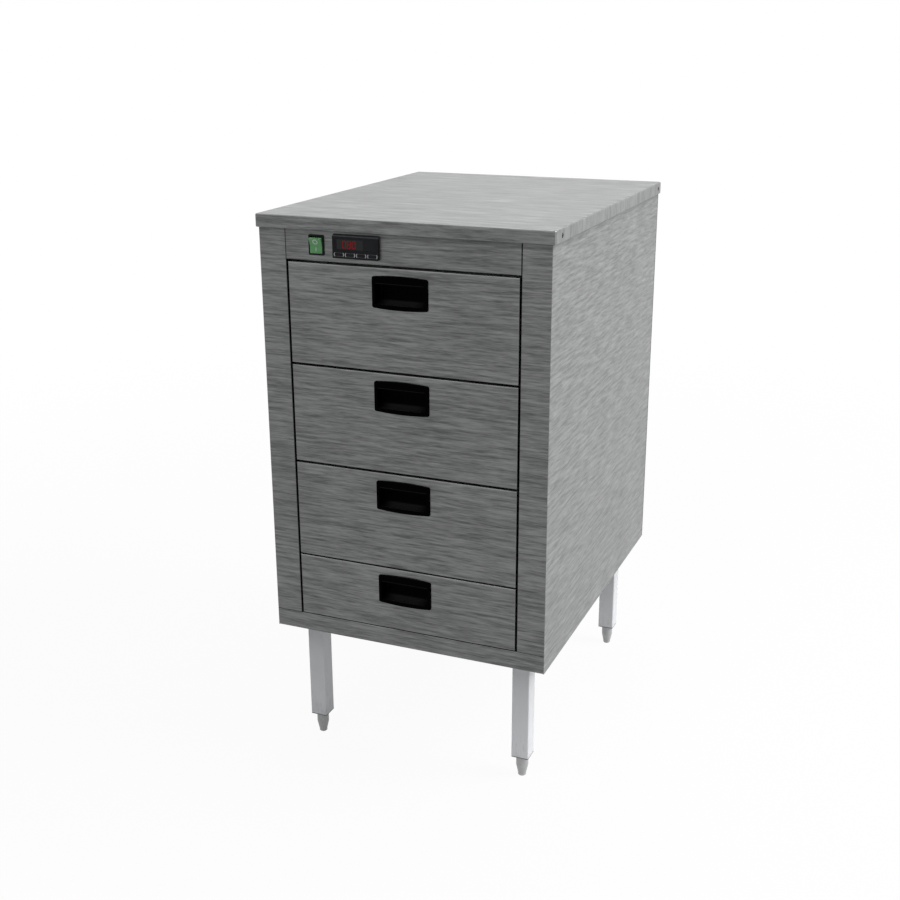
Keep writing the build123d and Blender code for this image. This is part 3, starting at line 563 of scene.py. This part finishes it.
def leg_coat():
    """Smooth pale coat on the tube legs: faint orange peel, scuffs toward the foot, and painted shade
    toward the top, under the cabinet.
    """
    material, tree, shader, place = new_finish("Pale leg coat", 0.0, Specular_IOR_Level=0.3)
    height = axis_parts(tree, place)["Z"]
    low = ranged(tree, height, 0.038, 0.09, 1.0, 0.0)
    scratches = streaked(tree, place, (300, 300, 60), 4.0, 0.7)
    scuffs = ranged(tree, scratches, 0.5, 0.72, 0.0, 1.0)
    scuffed = scaled(tree, scaled(tree, low, scuffs), 0.5)
    tone = blended(tree, noise(tree, place, 25.0), (0.775, 0.79, 0.815), (0.845, 0.86, 0.885))
    # Painted shade: darker toward the top of the leg, under the cabinet
    shaded = ranged(tree, height, 0.07, 0.215, 0.0, 0.46)
    tone = blended(tree, shaded, tone, (0.3, 0.3, 0.31))
    tone = blended(tree, scuffed, tone, (0.36, 0.36, 0.36))
    tree.links.new(tone, shader.inputs["Base Color"])
    gloss = ranged(tree, noise(tree, place, 40.0, 3.0), 0.3, 0.7, 0.38, 0.46)
    dulled = calc(tree, "ADD", gloss, scaled(tree, scuffed, 0.3))
    tree.links.new(dulled, shader.inputs["Roughness"])
    bump(tree, shader, noise(tree, place, 700.0), 0.06, 0.0001)
    return material


def smoked_window():
    """Smoked front pane of the thermostat, faintly mottled, with fine wipe marks."""
    material, tree, shader, place = new_finish("Smoked window", 0.0, Specular_IOR_Level=0.08)
    wipes = streaked(tree, place, (900, 900, 120), 3.0, 0.6)
    tone = blended(
        tree, noise(tree, place, 200.0), (0.0145, 0.0152, 0.017), (0.0185, 0.0193, 0.0215),
    )
    tree.links.new(tone, shader.inputs["Base Color"])
    tree.links.new(ranged(tree, wipes, 0.35, 0.7, 0.2, 0.32), shader.inputs["Roughness"])
    bump(tree, shader, wipes, 0.03, 0.00005)
    return material


def lit_pane():
    """Display area in the window, a little lighter, with the fine raster of its filter."""
    material, tree, shader, place = new_finish("Display pane", 0.0, Specular_IOR_Level=0.08)
    raster = noise(tree, place, 2600.0, 1.0, 0.4)
    tone = blended(tree, raster, (0.029, 0.031, 0.031), (0.036, 0.0385, 0.0385))
    tree.links.new(tone, shader.inputs["Base Color"])
    tree.links.new(ranged(tree, raster, 0.3, 0.7, 0.26, 0.36), shader.inputs["Roughness"])
    bump(tree, shader, raster, 0.05, 0.00004)
    return material


def lit_segment():
    """Red lit display segment with an uneven glow."""
    material, tree, shader, place = new_finish(
        "Lit red segment", 0.0, Emission_Strength=0.14, Specular_IOR_Level=0.05,
    )
    glow = noise(tree, place, 900.0)
    unlit = blended(tree, glow, (0.13, 0.003, 0.004), (0.2, 0.005, 0.006))
    lit = blended(tree, glow, (0.7, 0.005, 0.007), (1.0, 0.012, 0.015))
    tree.links.new(unlit, shader.inputs["Base Color"])
    tree.links.new(lit, shader.inputs["Emission Color"])
    tree.links.new(ranged(tree, glow, 0.3, 0.7, 0.35, 0.5), shader.inputs["Roughness"])
    return material


def mineral_wool():
    """Matted mineral fibres in layers."""
    material, tree, shader, place = new_finish("Mineral wool", 0.0)
    fibres = streaked(tree, place, (240, 240, 900), 5.0, 0.75)
    layers = streaked(tree, place, (6, 6, 160), 3.0, 0.5)
    shade = ranged(tree, scaled(tree, fibres, layers), 0.12, 0.4, 0.0, 1.0)
    tone = blended(tree, shade, (0.2, 0.17, 0.09), (0.55, 0.5, 0.32))
    tree.links.new(tone, shader.inputs["Base Color"])
    tree.links.new(ranged(tree, fibres, 0.3, 0.7, 0.85, 1.0), shader.inputs["Roughness"])
    bump(tree, shader, fibres, 0.8, 0.002)
    return material


# Sheet steel
top_steel = folded_steel(
    "Brushed worktop", FRONT, SIDE, TOP, (rubbed_and_highlit_edges("worktop"), painted_dark_corners("worktop")),
    side_grain=UPRIGHT, top_grain=ACROSS_TOP,
)
opening_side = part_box("drawer_1_front")[1].x + DRAWER_SIDE_GAP
panel_steel = folded_steel(
    "Brushed side sheet", FRONT, SIDE, SIDE,
    (shade_under_lip(LIP_EDGE), dark_stile_folds(opening_side)),
)
back_steel = folded_steel("Brushed back sheet", BACK, BACK, BACK)
rail_steel = folded_steel("Brushed base pan", FRONT, SIDE, FRONT)
# The fascia's darker tone and the line under its lip are painted shade
fascia_steel = folded_steel("Brushed fascia", FASCIA, SIDE, SIDE, (shade_under_lip(LIP_EDGE),))
liner_steel = folded_steel(
    "Satin liner sheet", LINER, LINER, LINER,
    side_grain=UPRIGHT, rough=0.36, haze=0.7, contrast=1.0,
)
tray_steel = folded_steel(
    "Satin tray sheet", TRAY, TRAY, TRAY, top_grain=DEEP, rough=0.34, haze=0.7, contrast=1.0,
)

# Small metal parts
zinc_slide = small_metal("Zinc plated slide", (0.36, 0.37, 0.385), (0.46, 0.47, 0.485), 0.36, 60.0)
zinc_bolt = small_metal("Zinc plated bolt", (0.36, 0.36, 0.37), (0.5, 0.5, 0.51), 0.36, 220.0)
black_screw = small_metal("Blackened screw", (0.02, 0.02, 0.021), (0.045, 0.045, 0.046), 0.42, 400.0)
sheath = small_metal("Heat darkened sheath", (0.1, 0.09, 0.085), (0.22, 0.2, 0.19), 0.5, 90.0)
probe_steel = small_metal("Probe steel", (0.42, 0.42, 0.42), (0.55, 0.55, 0.55), 0.3, 300.0)
foot_metal = small_metal(
    "Dull cast foot", (0.45, 0.455, 0.46), (0.54, 0.545, 0.55), 0.42, 160.0, metallic=0.1, dust=0.2,
)

# Plastic parts and prints
# Painted light on the housing's upward brow, and a painted highlight along the edge of its bezel
bezel_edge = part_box("controller_bezel")[1].z - 0.0024
black_housing = moulded_plastic(
    "Black controller housing", (0.0168, 0.0176, 0.0196), 0.42, 1900.0,
    top_light=(0.027, 0.028, 0.03), edge_highlight=(bezel_edge, (0.13, 0.133, 0.138)), Specular_IOR_Level=0.06,
)
black_key = moulded_plastic("Black key", (0.0165, 0.0172, 0.019), 0.5, 2400.0, Specular_IOR_Level=0.08)
black_switch = moulded_plastic(
    "Black switch housing", (0.010, 0.0105, 0.012), 0.38, 2000.0, dust=0.2, Specular_IOR_Level=0.08,
)
# Painted light on the rocker's upward faces, and a painted highlight along its upper edge, in the
# light green
light_green = (0.24, 0.55, 0.25)
rocker_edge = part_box("switch_rocker")[1].z - 0.0009
green_rocker = moulded_plastic(
    "Green rocker", (0.12, 0.335, 0.135), 0.34, 900.0, 0.08,
    top_light=light_green, edge_highlight=(rocker_edge, light_green), Specular_IOR_Level=0.25,
)
grey_insert = moulded_plastic("Grey tube insert", (0.14, 0.14, 0.15), 0.5, 1500.0)
black_gland = moulded_plastic("Black gland", (0.024, 0.024, 0.025), 0.46, 1500.0, dust=0.2)
cream_terminal = moulded_plastic("Cream terminal block", (0.56, 0.54, 0.47), 0.5, 1600.0)
white_print = moulded_plastic("White print", (0.62, 0.63, 0.64), 0.6, 2600.0)
pale_print = moulded_plastic("Pale print", (0.34, 0.345, 0.35), 0.6, 2600.0)
grey_print = moulded_plastic("Grey print", (0.085, 0.087, 0.09), 0.6, 2600.0)

pale_leg = leg_coat()
window_pane = smoked_window()
display_pane = lit_pane()
red_segment = lit_segment()
wool = mineral_wool()

carried = {
    "worktop": top_steel,
    "side_panel_left": panel_steel,
    "side_panel_right": panel_steel,
    "back_panel": back_steel,
    "casing_screws": black_screw,
    "base_pan": rail_steel,
    "control_fascia": fascia_steel,
    "insulation": wool,
    "cabinet_slides": zinc_slide,
    "leg_backing_plates": zinc_bolt,
    "leg_bolts": zinc_bolt,
    "leg_inserts": grey_insert,
    "controller_bezel": black_housing,
    "controller_window": window_pane,
    "controller_case": black_housing,
    "switch_housing": black_switch,
    "switch_rocker": green_rocker,
    "heating_element": sheath,
    "element_supports": liner_steel,
    "temperature_probe": probe_steel,
    "terminal_block": cream_terminal,
    "cable_gland": black_gland,
}
for wall in ("left", "right", "top", "back", "base"):
    carried[f"liner_{wall}"] = liner_steel
for corner in ("front_left", "front_right", "rear_left", "rear_right"):
    carried[f"leg_{corner}"] = pale_leg
    carried[f"foot_{corner}"] = foot_metal
for number in (1, 2, 3, 4):
    carried[f"controller_key_{number}"] = black_key
    carried[f"drawer_{number}_front"] = front_steel(f"drawer_{number}_front")
    carried[f"drawer_{number}_box"] = tray_steel
    carried[f"drawer_{number}_handle"] = black_pull(f"drawer_{number}_handle")
    carried[f"drawer_{number}_slides"] = zinc_slide
    carried[f"drawer_{number}_middle_slides"] = zinc_slide

for name, material in carried.items():
    for material_slot in nodes[name].material_slots:
        material_slot.material = material


# Steps of modelling

def nothing_selected():
    """Object mode with nothing selected."""
    if bpy.context.object and bpy.context.object.mode != "OBJECT":
        bpy.ops.object.mode_set(mode="OBJECT")
    bpy.ops.object.select_all(action="DESELECT")


def added_piece(name):
    """The primitive just added, under its own name, in edit mode with nothing selected."""
    piece = bpy.context.object
    piece.name = name
    piece.data.name = name
    bpy.ops.object.transform_apply(location=True, rotation=True, scale=True)
    bpy.ops.object.mode_set(mode="EDIT")
    bpy.ops.mesh.select_all(action="DESELECT")
    return piece


def pick(piece, kind, test):
    """Selects the faces, edges or vertices whose place or normal passes the test."""
    bpy.ops.mesh.select_mode(type={"faces": "FACE", "edges": "EDGE", "verts": "VERT"}[kind])
    bpy.ops.mesh.select_all(action="DESELECT")
    mesh = bmesh.from_edit_mesh(piece.data)
    for item in getattr(mesh, kind):
        item.select_set(bool(test(item)))
    mesh.select_flush_mode()
    bmesh.update_edit_mesh(piece.data)


def runs_in_depth(edge):
    """True for an edge through the thickness of a plate that faces the front."""
    return abs((edge.verts[0].co - edge.verts[1].co).y) > 1e-5


def rounded_plate(name, size, corner, segments, place=(0, 0, 0)):
    """A thin plate facing the front, with its corners rounded, left in edit mode."""
    nothing_selected()
    bpy.ops.mesh.primitive_cube_add(size=1, location=place, scale=size)
    plate = added_piece(name)
    pick(plate, "edges", runs_in_depth)
    bpy.ops.mesh.bevel(offset=corner, segments=segments)
    return plate


def round_head(name, vertices, radius, height):
    """A flat disc on X = 0 that faces +X, in edit mode, to be shaped into a head."""
    nothing_selected()
    bpy.ops.mesh.primitive_cylinder_add(
        vertices=vertices, radius=radius, depth=height,
        location=(height / 2, 0, 0), rotation=(0, math.radians(90), 0),
    )
    return added_piece(name)


def done_piece(piece, material, body, smooth=35.0):
    """Back to object mode, place applied, shaded, finished and carried by its body."""
    bpy.ops.object.mode_set(mode="OBJECT")
    nothing_selected()
    piece.select_set(True)
    bpy.context.view_layer.objects.active = piece
    bpy.ops.object.transform_apply(location=True, rotation=True, scale=True)
    bpy.ops.object.shade_smooth_by_angle(angle=math.radians(smooth))
    piece.data.materials.clear()
    piece.data.materials.append(material)
    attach(piece, body)
    return piece


def own_copy(piece):
    """Another one of a piece, with its own mesh."""
    twin = piece.copy()
    twin.data = piece.data.copy()
    bpy.context.scene.collection.objects.link(twin)
    return twin


def copied_piece(piece, name, body, matrix):
    """Another one of a finished piece, under its own name, moved by a matrix."""
    twin = own_copy(piece)
    twin.name = name
    twin.data.name = name
    twin.data.transform(matrix)
    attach(twin, body)
    return twin


def half_turn(hand):
    """Turns what faces +X to the side of a hand: 1 is right, -1 is left."""
    return Matrix.Rotation(0.0 if hand > 0 else math.pi, 4, "Z")


# Display: the lighter pane on the window and three red digits
window_low, window_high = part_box("controller_window")
pane_size = (0.0423, 0.00006, 0.0148)
pane_corner = 0.0008
pane_x = -0.0772
pane_y = window_low.y
pane_z = (window_low.z + window_high.z) / 2 - 0.0002
segment_length = 0.0050
segment_width = 0.00095
segment_thickness = 0.0001
segment_point = 0.45 * segment_width
segment_tip = 0.15
digit_pitch = 0.0078
digit_shift = -0.0014
digit_lean = 0.05
digit_y = pane_y - pane_size[1] - segment_thickness / 2

pane_place = (pane_x, pane_y - pane_size[1] / 2, pane_z)
pane = rounded_plate("display_pane", pane_size, pane_corner, 4, pane_place)
done_piece(pane, display_pane, "cabinet")

# The strokes of a digit: steps across and up from its middle, in segments, and whether it stands
stroke_places = {
    "a": (0, 1, 0), "b": (0.5, 0.5, 1), "c": (0.5, -0.5, 1), "d": (0, -1, 0),
    "e": (-0.5, -0.5, 1), "f": (-0.5, 0.5, 1), "g": (0, 0, 0),
}
digit_strokes = {"0": "abcdef", "8": "abcdefg"}


def lying_segment():
    """One segment of a digit along X at the origin, with pointed ends."""
    nothing_selected()
    size = (segment_length - segment_width, segment_thickness, segment_width)
    bpy.ops.mesh.primitive_cube_add(size=1, scale=size)
    segment = added_piece("segment_pattern")
    for hand in (-1, 1):
        pick(segment, "faces", lambda f: f.normal.x * hand > 0.9)
        point = (hand * segment_point, 0, 0)
        bpy.ops.mesh.extrude_region_move(TRANSFORM_OT_translate={"value": point})
        bpy.ops.transform.resize(value=(1, 1, segment_tip))
    bpy.ops.object.mode_set(mode="OBJECT")
    return segment


def lit_digit(name, segment, digit, middle_x):
    """One digit, joined from copies of the segment."""
    strokes = []
    for letter in digit_strokes[digit]:
        across, up, stands = stroke_places[letter]
        x = middle_x + (across + digit_lean * up) * segment_length
        spot = Matrix.Translation((x, digit_y, pane_z + up * segment_length))
        stroke = own_copy(segment)
        stroke.data.transform(spot @ Matrix.Rotation(math.radians(90 * stands), 4, "Y"))
        strokes.append(stroke)
    nothing_selected()
    for stroke in strokes:
        stroke.select_set(True)
    bpy.context.view_layer.objects.active = strokes[0]
    bpy.ops.object.join()
    numeral = bpy.context.object
    numeral.name = name
    numeral.data.name = name
    return done_piece(numeral, red_segment, "cabinet")


segment = lying_segment()
for position, digit in enumerate("080"):
    middle_x = pane_x + digit_shift + (position - 1) * digit_pitch
    lit_digit(f"display_digit_{position + 1}", segment, digit, middle_x)
bpy.data.objects.remove(segment)

# Printed round each key: a bracket at either end, swept along an arc, and fine lines between
bracket_bow = 0.0034
bracket_half = math.radians(49)
bracket_reach = 0.0077
bracket_width = 0.0015
line_width = 0.0005
line_corner = 0.0002
print_thickness = 0.00004
line_half = bracket_reach - bracket_bow * (1 - math.cos(bracket_half))
line_rise = bracket_bow * math.sin(bracket_half)


def key_bracket():
    """One bracket, bowed towards +X round the origin."""
    nothing_selected()
    bpy.ops.mesh.primitive_plane_add(size=1)
    mark = added_piece("bracket_pattern")
    bpy.ops.mesh.select_all(action="SELECT")
    bpy.ops.transform.resize(value=(bracket_width, print_thickness, 1))
    bpy.ops.transform.translate(value=(bracket_bow, 0, 0))
    bpy.ops.transform.rotate(value=-bracket_half, orient_axis="Y", center_override=(0, 0, 0))
    bpy.ops.mesh.spin(steps=10, angle=2 * bracket_half, center=(0, 0, 0), axis=(0, 1, 0))
    bpy.ops.mesh.select_all(action="SELECT")
    bpy.ops.mesh.remove_doubles(threshold=0.000001)
    bpy.ops.mesh.fill_holes(sides=4)
    bpy.ops.mesh.normals_make_consistent(inside=False)
    return done_piece(mark, pale_print, "cabinet")


def key_line():
    """One line along X through the origin, with rounded ends."""
    size = (2 * line_half, print_thickness, line_width)
    line = rounded_plate("line_pattern", size, line_corner, 3)
    return done_piece(line, grey_print, "cabinet")


bracket_pattern = key_bracket()
line_pattern = key_line()
print_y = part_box("controller_bezel")[0].y - print_thickness / 2
for number in (1, 2, 3, 4):
    key_low, key_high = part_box(f"controller_key_{number}")
    middle = Vector(((key_low.x + key_high.x) / 2, print_y, (key_low.z + key_high.z) / 2))
    for index, hand in ((2 * number - 1, -1), (2 * number, 1)):
        spot = middle + Vector((hand * (bracket_reach - bracket_bow), 0, 0))
        turned = Matrix.Translation(spot) @ half_turn(hand)
        copied_piece(bracket_pattern, f"key_bracket_{index}", "cabinet", turned)
        spot = middle + Vector((0, 0, hand * line_rise))
        copied_piece(line_pattern, f"key_line_{index}", "cabinet", Matrix.Translation(spot))
bpy.data.objects.remove(bracket_pattern)
bpy.data.objects.remove(line_pattern)

# Rocker marks: a ring on the raised half, a bar on the pressed half, which stands upright
rocker_low, rocker_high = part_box("switch_rocker")
rocker_tilt = math.radians(12.0)
rocker_front = 0.005
rocker_half = 0.0116
rocker_pivot = Vector(((rocker_low.x + rocker_high.x) / 2, -0.31121, 0.8583))
mark_thickness = 0.00012
ring_radius = 0.0041
ring_width = 0.0011
bar_size = (0.0011, mark_thickness, 0.0056)
bar_corner = 0.00025


def rocker_mark_place(hand, outward):
    """Middle of the rocker's upper (1) or lower (-1) face, a little out along its normal."""
    ahead = Vector((0, math.cos(rocker_tilt), math.sin(rocker_tilt)))
    along = Vector((0, -math.sin(rocker_tilt), math.cos(rocker_tilt)))
    valley = rocker_half * math.tan(rocker_tilt)
    middle = rocker_pivot + ahead * (valley / 2 - rocker_front) + along * (hand * rocker_half / 2)
    return middle + outward * mark_thickness / 2


raised_outward = Vector((0, -math.cos(2 * rocker_tilt), -math.sin(2 * rocker_tilt)))
nothing_selected()
bpy.ops.mesh.primitive_circle_add(
    vertices=40, radius=ring_radius, fill_type="NGON",
    rotation=(math.radians(90) + 2 * rocker_tilt, 0, 0),
)
bpy.ops.transform.translate(value=rocker_mark_place(1, raised_outward))
ring = added_piece("rocker_ring")
pick(ring, "faces", lambda f: True)
bpy.ops.mesh.inset(thickness=ring_width)
bpy.ops.mesh.delete(type="FACE")
bpy.ops.object.mode_set(mode="OBJECT")
wall = ring.modifiers.new("Print", "SOLIDIFY")
wall.thickness = mark_thickness
wall.offset = 0
bpy.ops.object.modifier_apply(modifier="Print")
done_piece(ring, white_print, "switch_rocker")

bar_place = rocker_mark_place(-1, Vector((0, -1, 0)))
bar = rounded_plate("rocker_bar", bar_size, bar_corner, 3, bar_place)
done_piece(bar, white_print, "switch_rocker")

# Casing screws with a domed head and a cross recess
head_radius = 0.0031
head_height = 0.0013
crown_inset = 0.0006
crown_rise = 0.0002
shank_inset = 0.0011
shank_length = 0.0046
recess_size = (0.0014, 0.0036, 0.0008)
recess_middle = 0.0012
recess_taper = 0.55
lip_screw_z = 0.8894
lip_screw_ys = (-0.28401, 0.27349)
back_screw_inset = 0.012
back_screw_margin = 0.04
back_screw_steps = 4
lip_seat_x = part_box("worktop")[1].x - 0.0015


def cross_head_screw():
    """One screw at the origin, its head towards +X and its seat at X = 0."""
    screw = round_head("screw_pattern", 32, head_radius, head_height)
    pick(screw, "faces", lambda f: f.normal.x > 0.9)
    bpy.ops.mesh.inset(thickness=crown_inset)
    bpy.ops.transform.translate(value=(crown_rise, 0, 0))
    pick(screw, "faces", lambda f: f.normal.x < -0.9)
    bpy.ops.mesh.inset(thickness=shank_inset)
    bpy.ops.mesh.extrude_region_move(TRANSFORM_OT_translate={"value": (-shank_length, 0, 0)})
    bpy.ops.object.mode_set(mode="OBJECT")
    for turn in (0, 90):
        nothing_selected()
        bpy.ops.mesh.primitive_cube_add(
            size=1, location=(recess_middle, 0, 0), scale=recess_size,
            rotation=(math.radians(turn), 0, 0),
        )
        slot_cutter = added_piece("recess_cutter")
        pick(slot_cutter, "faces", lambda f: f.normal.x < -0.9)
        bpy.ops.transform.resize(value=(1, recess_taper, recess_taper))
        bpy.ops.object.mode_set(mode="OBJECT")
        nothing_selected()
        screw.select_set(True)
        bpy.context.view_layer.objects.active = screw
        cut = screw.modifiers.new("Recess", "BOOLEAN")
        cut.operation = "DIFFERENCE"
        cut.solver = "EXACT"
        cut.object = slot_cutter
        bpy.ops.object.modifier_apply(modifier="Recess")
        bpy.data.objects.remove(slot_cutter)
    return done_piece(screw, black_screw, "cabinet", smooth=28.0)


def screw_spots():
    """Where the screws sit: two in each side lip, then a row down either edge of the back."""
    spots = []
    for hand in (-1, 1):
        for y in lip_screw_ys:
            spots.append(Matrix.Translation((hand * lip_seat_x, y, lip_screw_z)) @ half_turn(hand))
    low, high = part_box("back_panel")
    first_z = low.z + back_screw_margin
    step_z = (high.z - back_screw_margin - first_z) / back_screw_steps
    backward = Matrix.Rotation(math.radians(90), 4, "Z")
    for hand in (-1, 1):
        for step in range(back_screw_steps + 1):
            place = (hand * (high.x - back_screw_inset), high.y, first_z + step * step_z)
            spots.append(Matrix.Translation(place) @ backward)
    return spots


screw_pattern = cross_head_screw()
for index, spot in enumerate(screw_spots()):
    tightened = Matrix.Rotation(math.radians((37 * index) % 90), 4, "X")
    name = f"casing_screw_{index + 1:02d}"
    screw = copied_piece(screw_pattern, name, "cabinet", spot @ tightened)
    if index == 0:
        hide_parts("casing_screws")
bpy.data.objects.remove(screw_pattern)

# Rivets that hold the inner slide sections to the drawer boxes
rivet_radius = 0.0036
rivet_height = 0.0008
rivet_seat = 0.0013
rivet_shares = (0.07, 0.36, 0.65, 0.93)
# The rings of its dome, from the rim inward: how wide each is, and how far it rises
rivet_rings = ((0.0007, 0.0003), (0.0012, 0.0002), (0.0005, -0.0005))


def domed_rivet():
    """One rivet at the origin, its domed head towards +X with a set-down middle."""
    rivet = round_head("rivet_pattern", 28, rivet_radius, rivet_height)
    for ring_inset, rise in rivet_rings:
        pick(rivet, "faces", lambda f: f.normal.x > 0.9 and len(f.verts) > 8)
        bpy.ops.mesh.inset(thickness=ring_inset)
        bpy.ops.transform.translate(value=(rise, 0, 0))
    return done_piece(rivet, zinc_bolt, "drawer_1", smooth=40.0)


rivet_pattern = domed_rivet()
for number in (1, 2, 3, 4):
    slide_low, slide_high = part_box(f"drawer_{number}_slides")
    seat_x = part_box(f"drawer_{number}_box")[1].x + rivet_seat
    rivet_z = (slide_low.z + slide_high.z) / 2
    rivets_made = 0
    for hand in (-1, 1):
        for share in rivet_shares:
            rivet_y = slide_low.y + share * (slide_high.y - slide_low.y)
            spot = Matrix.Translation((hand * seat_x, rivet_y, rivet_z)) @ half_turn(hand)
            rivets_made += 1
            name = f"drawer_{number}_rivet_{rivets_made}"
            copied_piece(rivet_pattern, name, f"drawer_{number}", spot)
bpy.data.objects.remove(rivet_pattern)


# The studio
ambient_strength = 0.24
floor_whiteness = (0.95, 1.0)
floor_fade = (0.6, 3.0)


def seen_directly(tree):
    """Mask of what the camera, metal and glass see, apart from what lights the object."""
    paths = tree.nodes.new("ShaderNodeLightPath").outputs
    seen = calc(tree, "MAXIMUM", paths["Is Camera Ray"], paths["Is Glossy Ray"])
    return calc(tree, "MAXIMUM", seen, paths["Is Transmission Ray"])


def mixed_shaders(tree, mask, first, second):
    """From one shader to another, by a mask."""
    mixed = tree.nodes.new("ShaderNodeMixShader")
    tree.links.new(mask, mixed.inputs[0])
    tree.links.new(first.outputs[0], mixed.inputs[1])
    tree.links.new(second.outputs[0], mixed.inputs[2])
    return mixed.outputs[0]


def floor_finish():
    """Pale floor: keeps the shadow near the object, and shows white to the camera."""
    material, tree, shader, place = new_finish("Pale studio floor", 0.0, Roughness=0.9)
    tone = blended(tree, noise(tree, place, 3.0), (0.80, 0.80, 0.80), (0.82, 0.82, 0.82))
    tree.links.new(tone, shader.inputs["Base Color"])
    white = tree.nodes.new("ShaderNodeEmission")
    white.inputs["Strength"].default_value = 1.0
    distance = tree.nodes.new("ShaderNodeVectorMath")
    distance.operation = "LENGTH"
    tree.links.new(place, distance.inputs[0])
    whiteness = ranged(tree, distance.outputs["Value"], *floor_fade, *floor_whiteness, smooth=True)
    mask = scaled(tree, seen_directly(tree), whiteness)
    surface = tree.nodes["Material Output"].inputs["Surface"]
    tree.links.new(mixed_shaders(tree, mask, shader, white), surface)
    return material


def plain_background(tree, strength):
    """An even white surround of some strength."""
    background = tree.nodes.new("ShaderNodeBackground")
    background.inputs["Color"].default_value = (1, 1, 1, 1)
    background.inputs["Strength"].default_value = strength
    return background


def softbox(name, place, size, power):
    """A square lamp that looks at the middle of the cabinet."""
    light = bpy.data.lights.new(name, "AREA")
    light.shape = "SQUARE"
    light.size = size
    light.energy = power
    lamp = bpy.data.objects.new(name, light)
    bpy.context.scene.collection.objects.link(lamp)
    lamp.location = place
    aim = Vector((0, 0, 0.5)) - Vector(place)
    lamp.rotation_euler = aim.to_track_quat("-Z", "Y").to_euler()
    return lamp


nothing_selected()
bpy.ops.mesh.primitive_plane_add(size=60, location=(0, 0, 0))
studio_floor = bpy.context.object
studio_floor.name = "studio_floor"
studio_floor.data.materials.append(floor_finish())

world = bpy.data.worlds.new("Studio")
bpy.context.scene.world = world
world.use_nodes = True
sky = world.node_tree
sky.nodes.clear()
ambient = plain_background(sky, ambient_strength)
white = plain_background(sky, 1.0)
output = sky.nodes.new("ShaderNodeOutputWorld")
sky.links.new(mixed_shaders(sky, seen_directly(sky), ambient, white), output.inputs["Surface"])

softbox("right_softbox", place=(2.7, 0.5, 2.6), size=1.6, power=100)
softbox("top_softbox", place=(0.2, 0.9, 3.4), size=2.0, power=25)
softbox("front_softbox", place=(-0.6, -2.6, 3.2), size=1.4, power=14)

# The camera, solved from the straight edges of the cabinet
camera_place = Vector((0.7666, -1.9700, 1.1673))
camera_azimuth = 0.393449
camera_elevation = 0.324279
camera_roll = -0.0039957
camera_data = bpy.data.cameras.new("camera")
camera_data.sensor_width = 36.0
camera_data.lens = 50.62
camera = bpy.data.objects.new("camera", camera_data)
bpy.context.scene.collection.objects.link(camera)
bpy.context.scene.camera = camera
forward = Vector((
    -math.sin(camera_azimuth) * math.cos(camera_elevation),
    math.cos(camera_azimuth) * math.cos(camera_elevation),
    -math.sin(camera_elevation),
))
level = Vector((math.cos(camera_azimuth), math.sin(camera_azimuth), 0))
upward = level.cross(forward)
right = level * math.cos(camera_roll) + upward * math.sin(camera_roll)
upright = right.cross(forward)
turned = Matrix((right, upright, -forward)).transposed().to_4x4()
camera.matrix_world = Matrix.Translation(camera_place) @ turned

bpy.context.scene.view_settings.view_transform = "Standard"

bpy.context.view_layer.update()
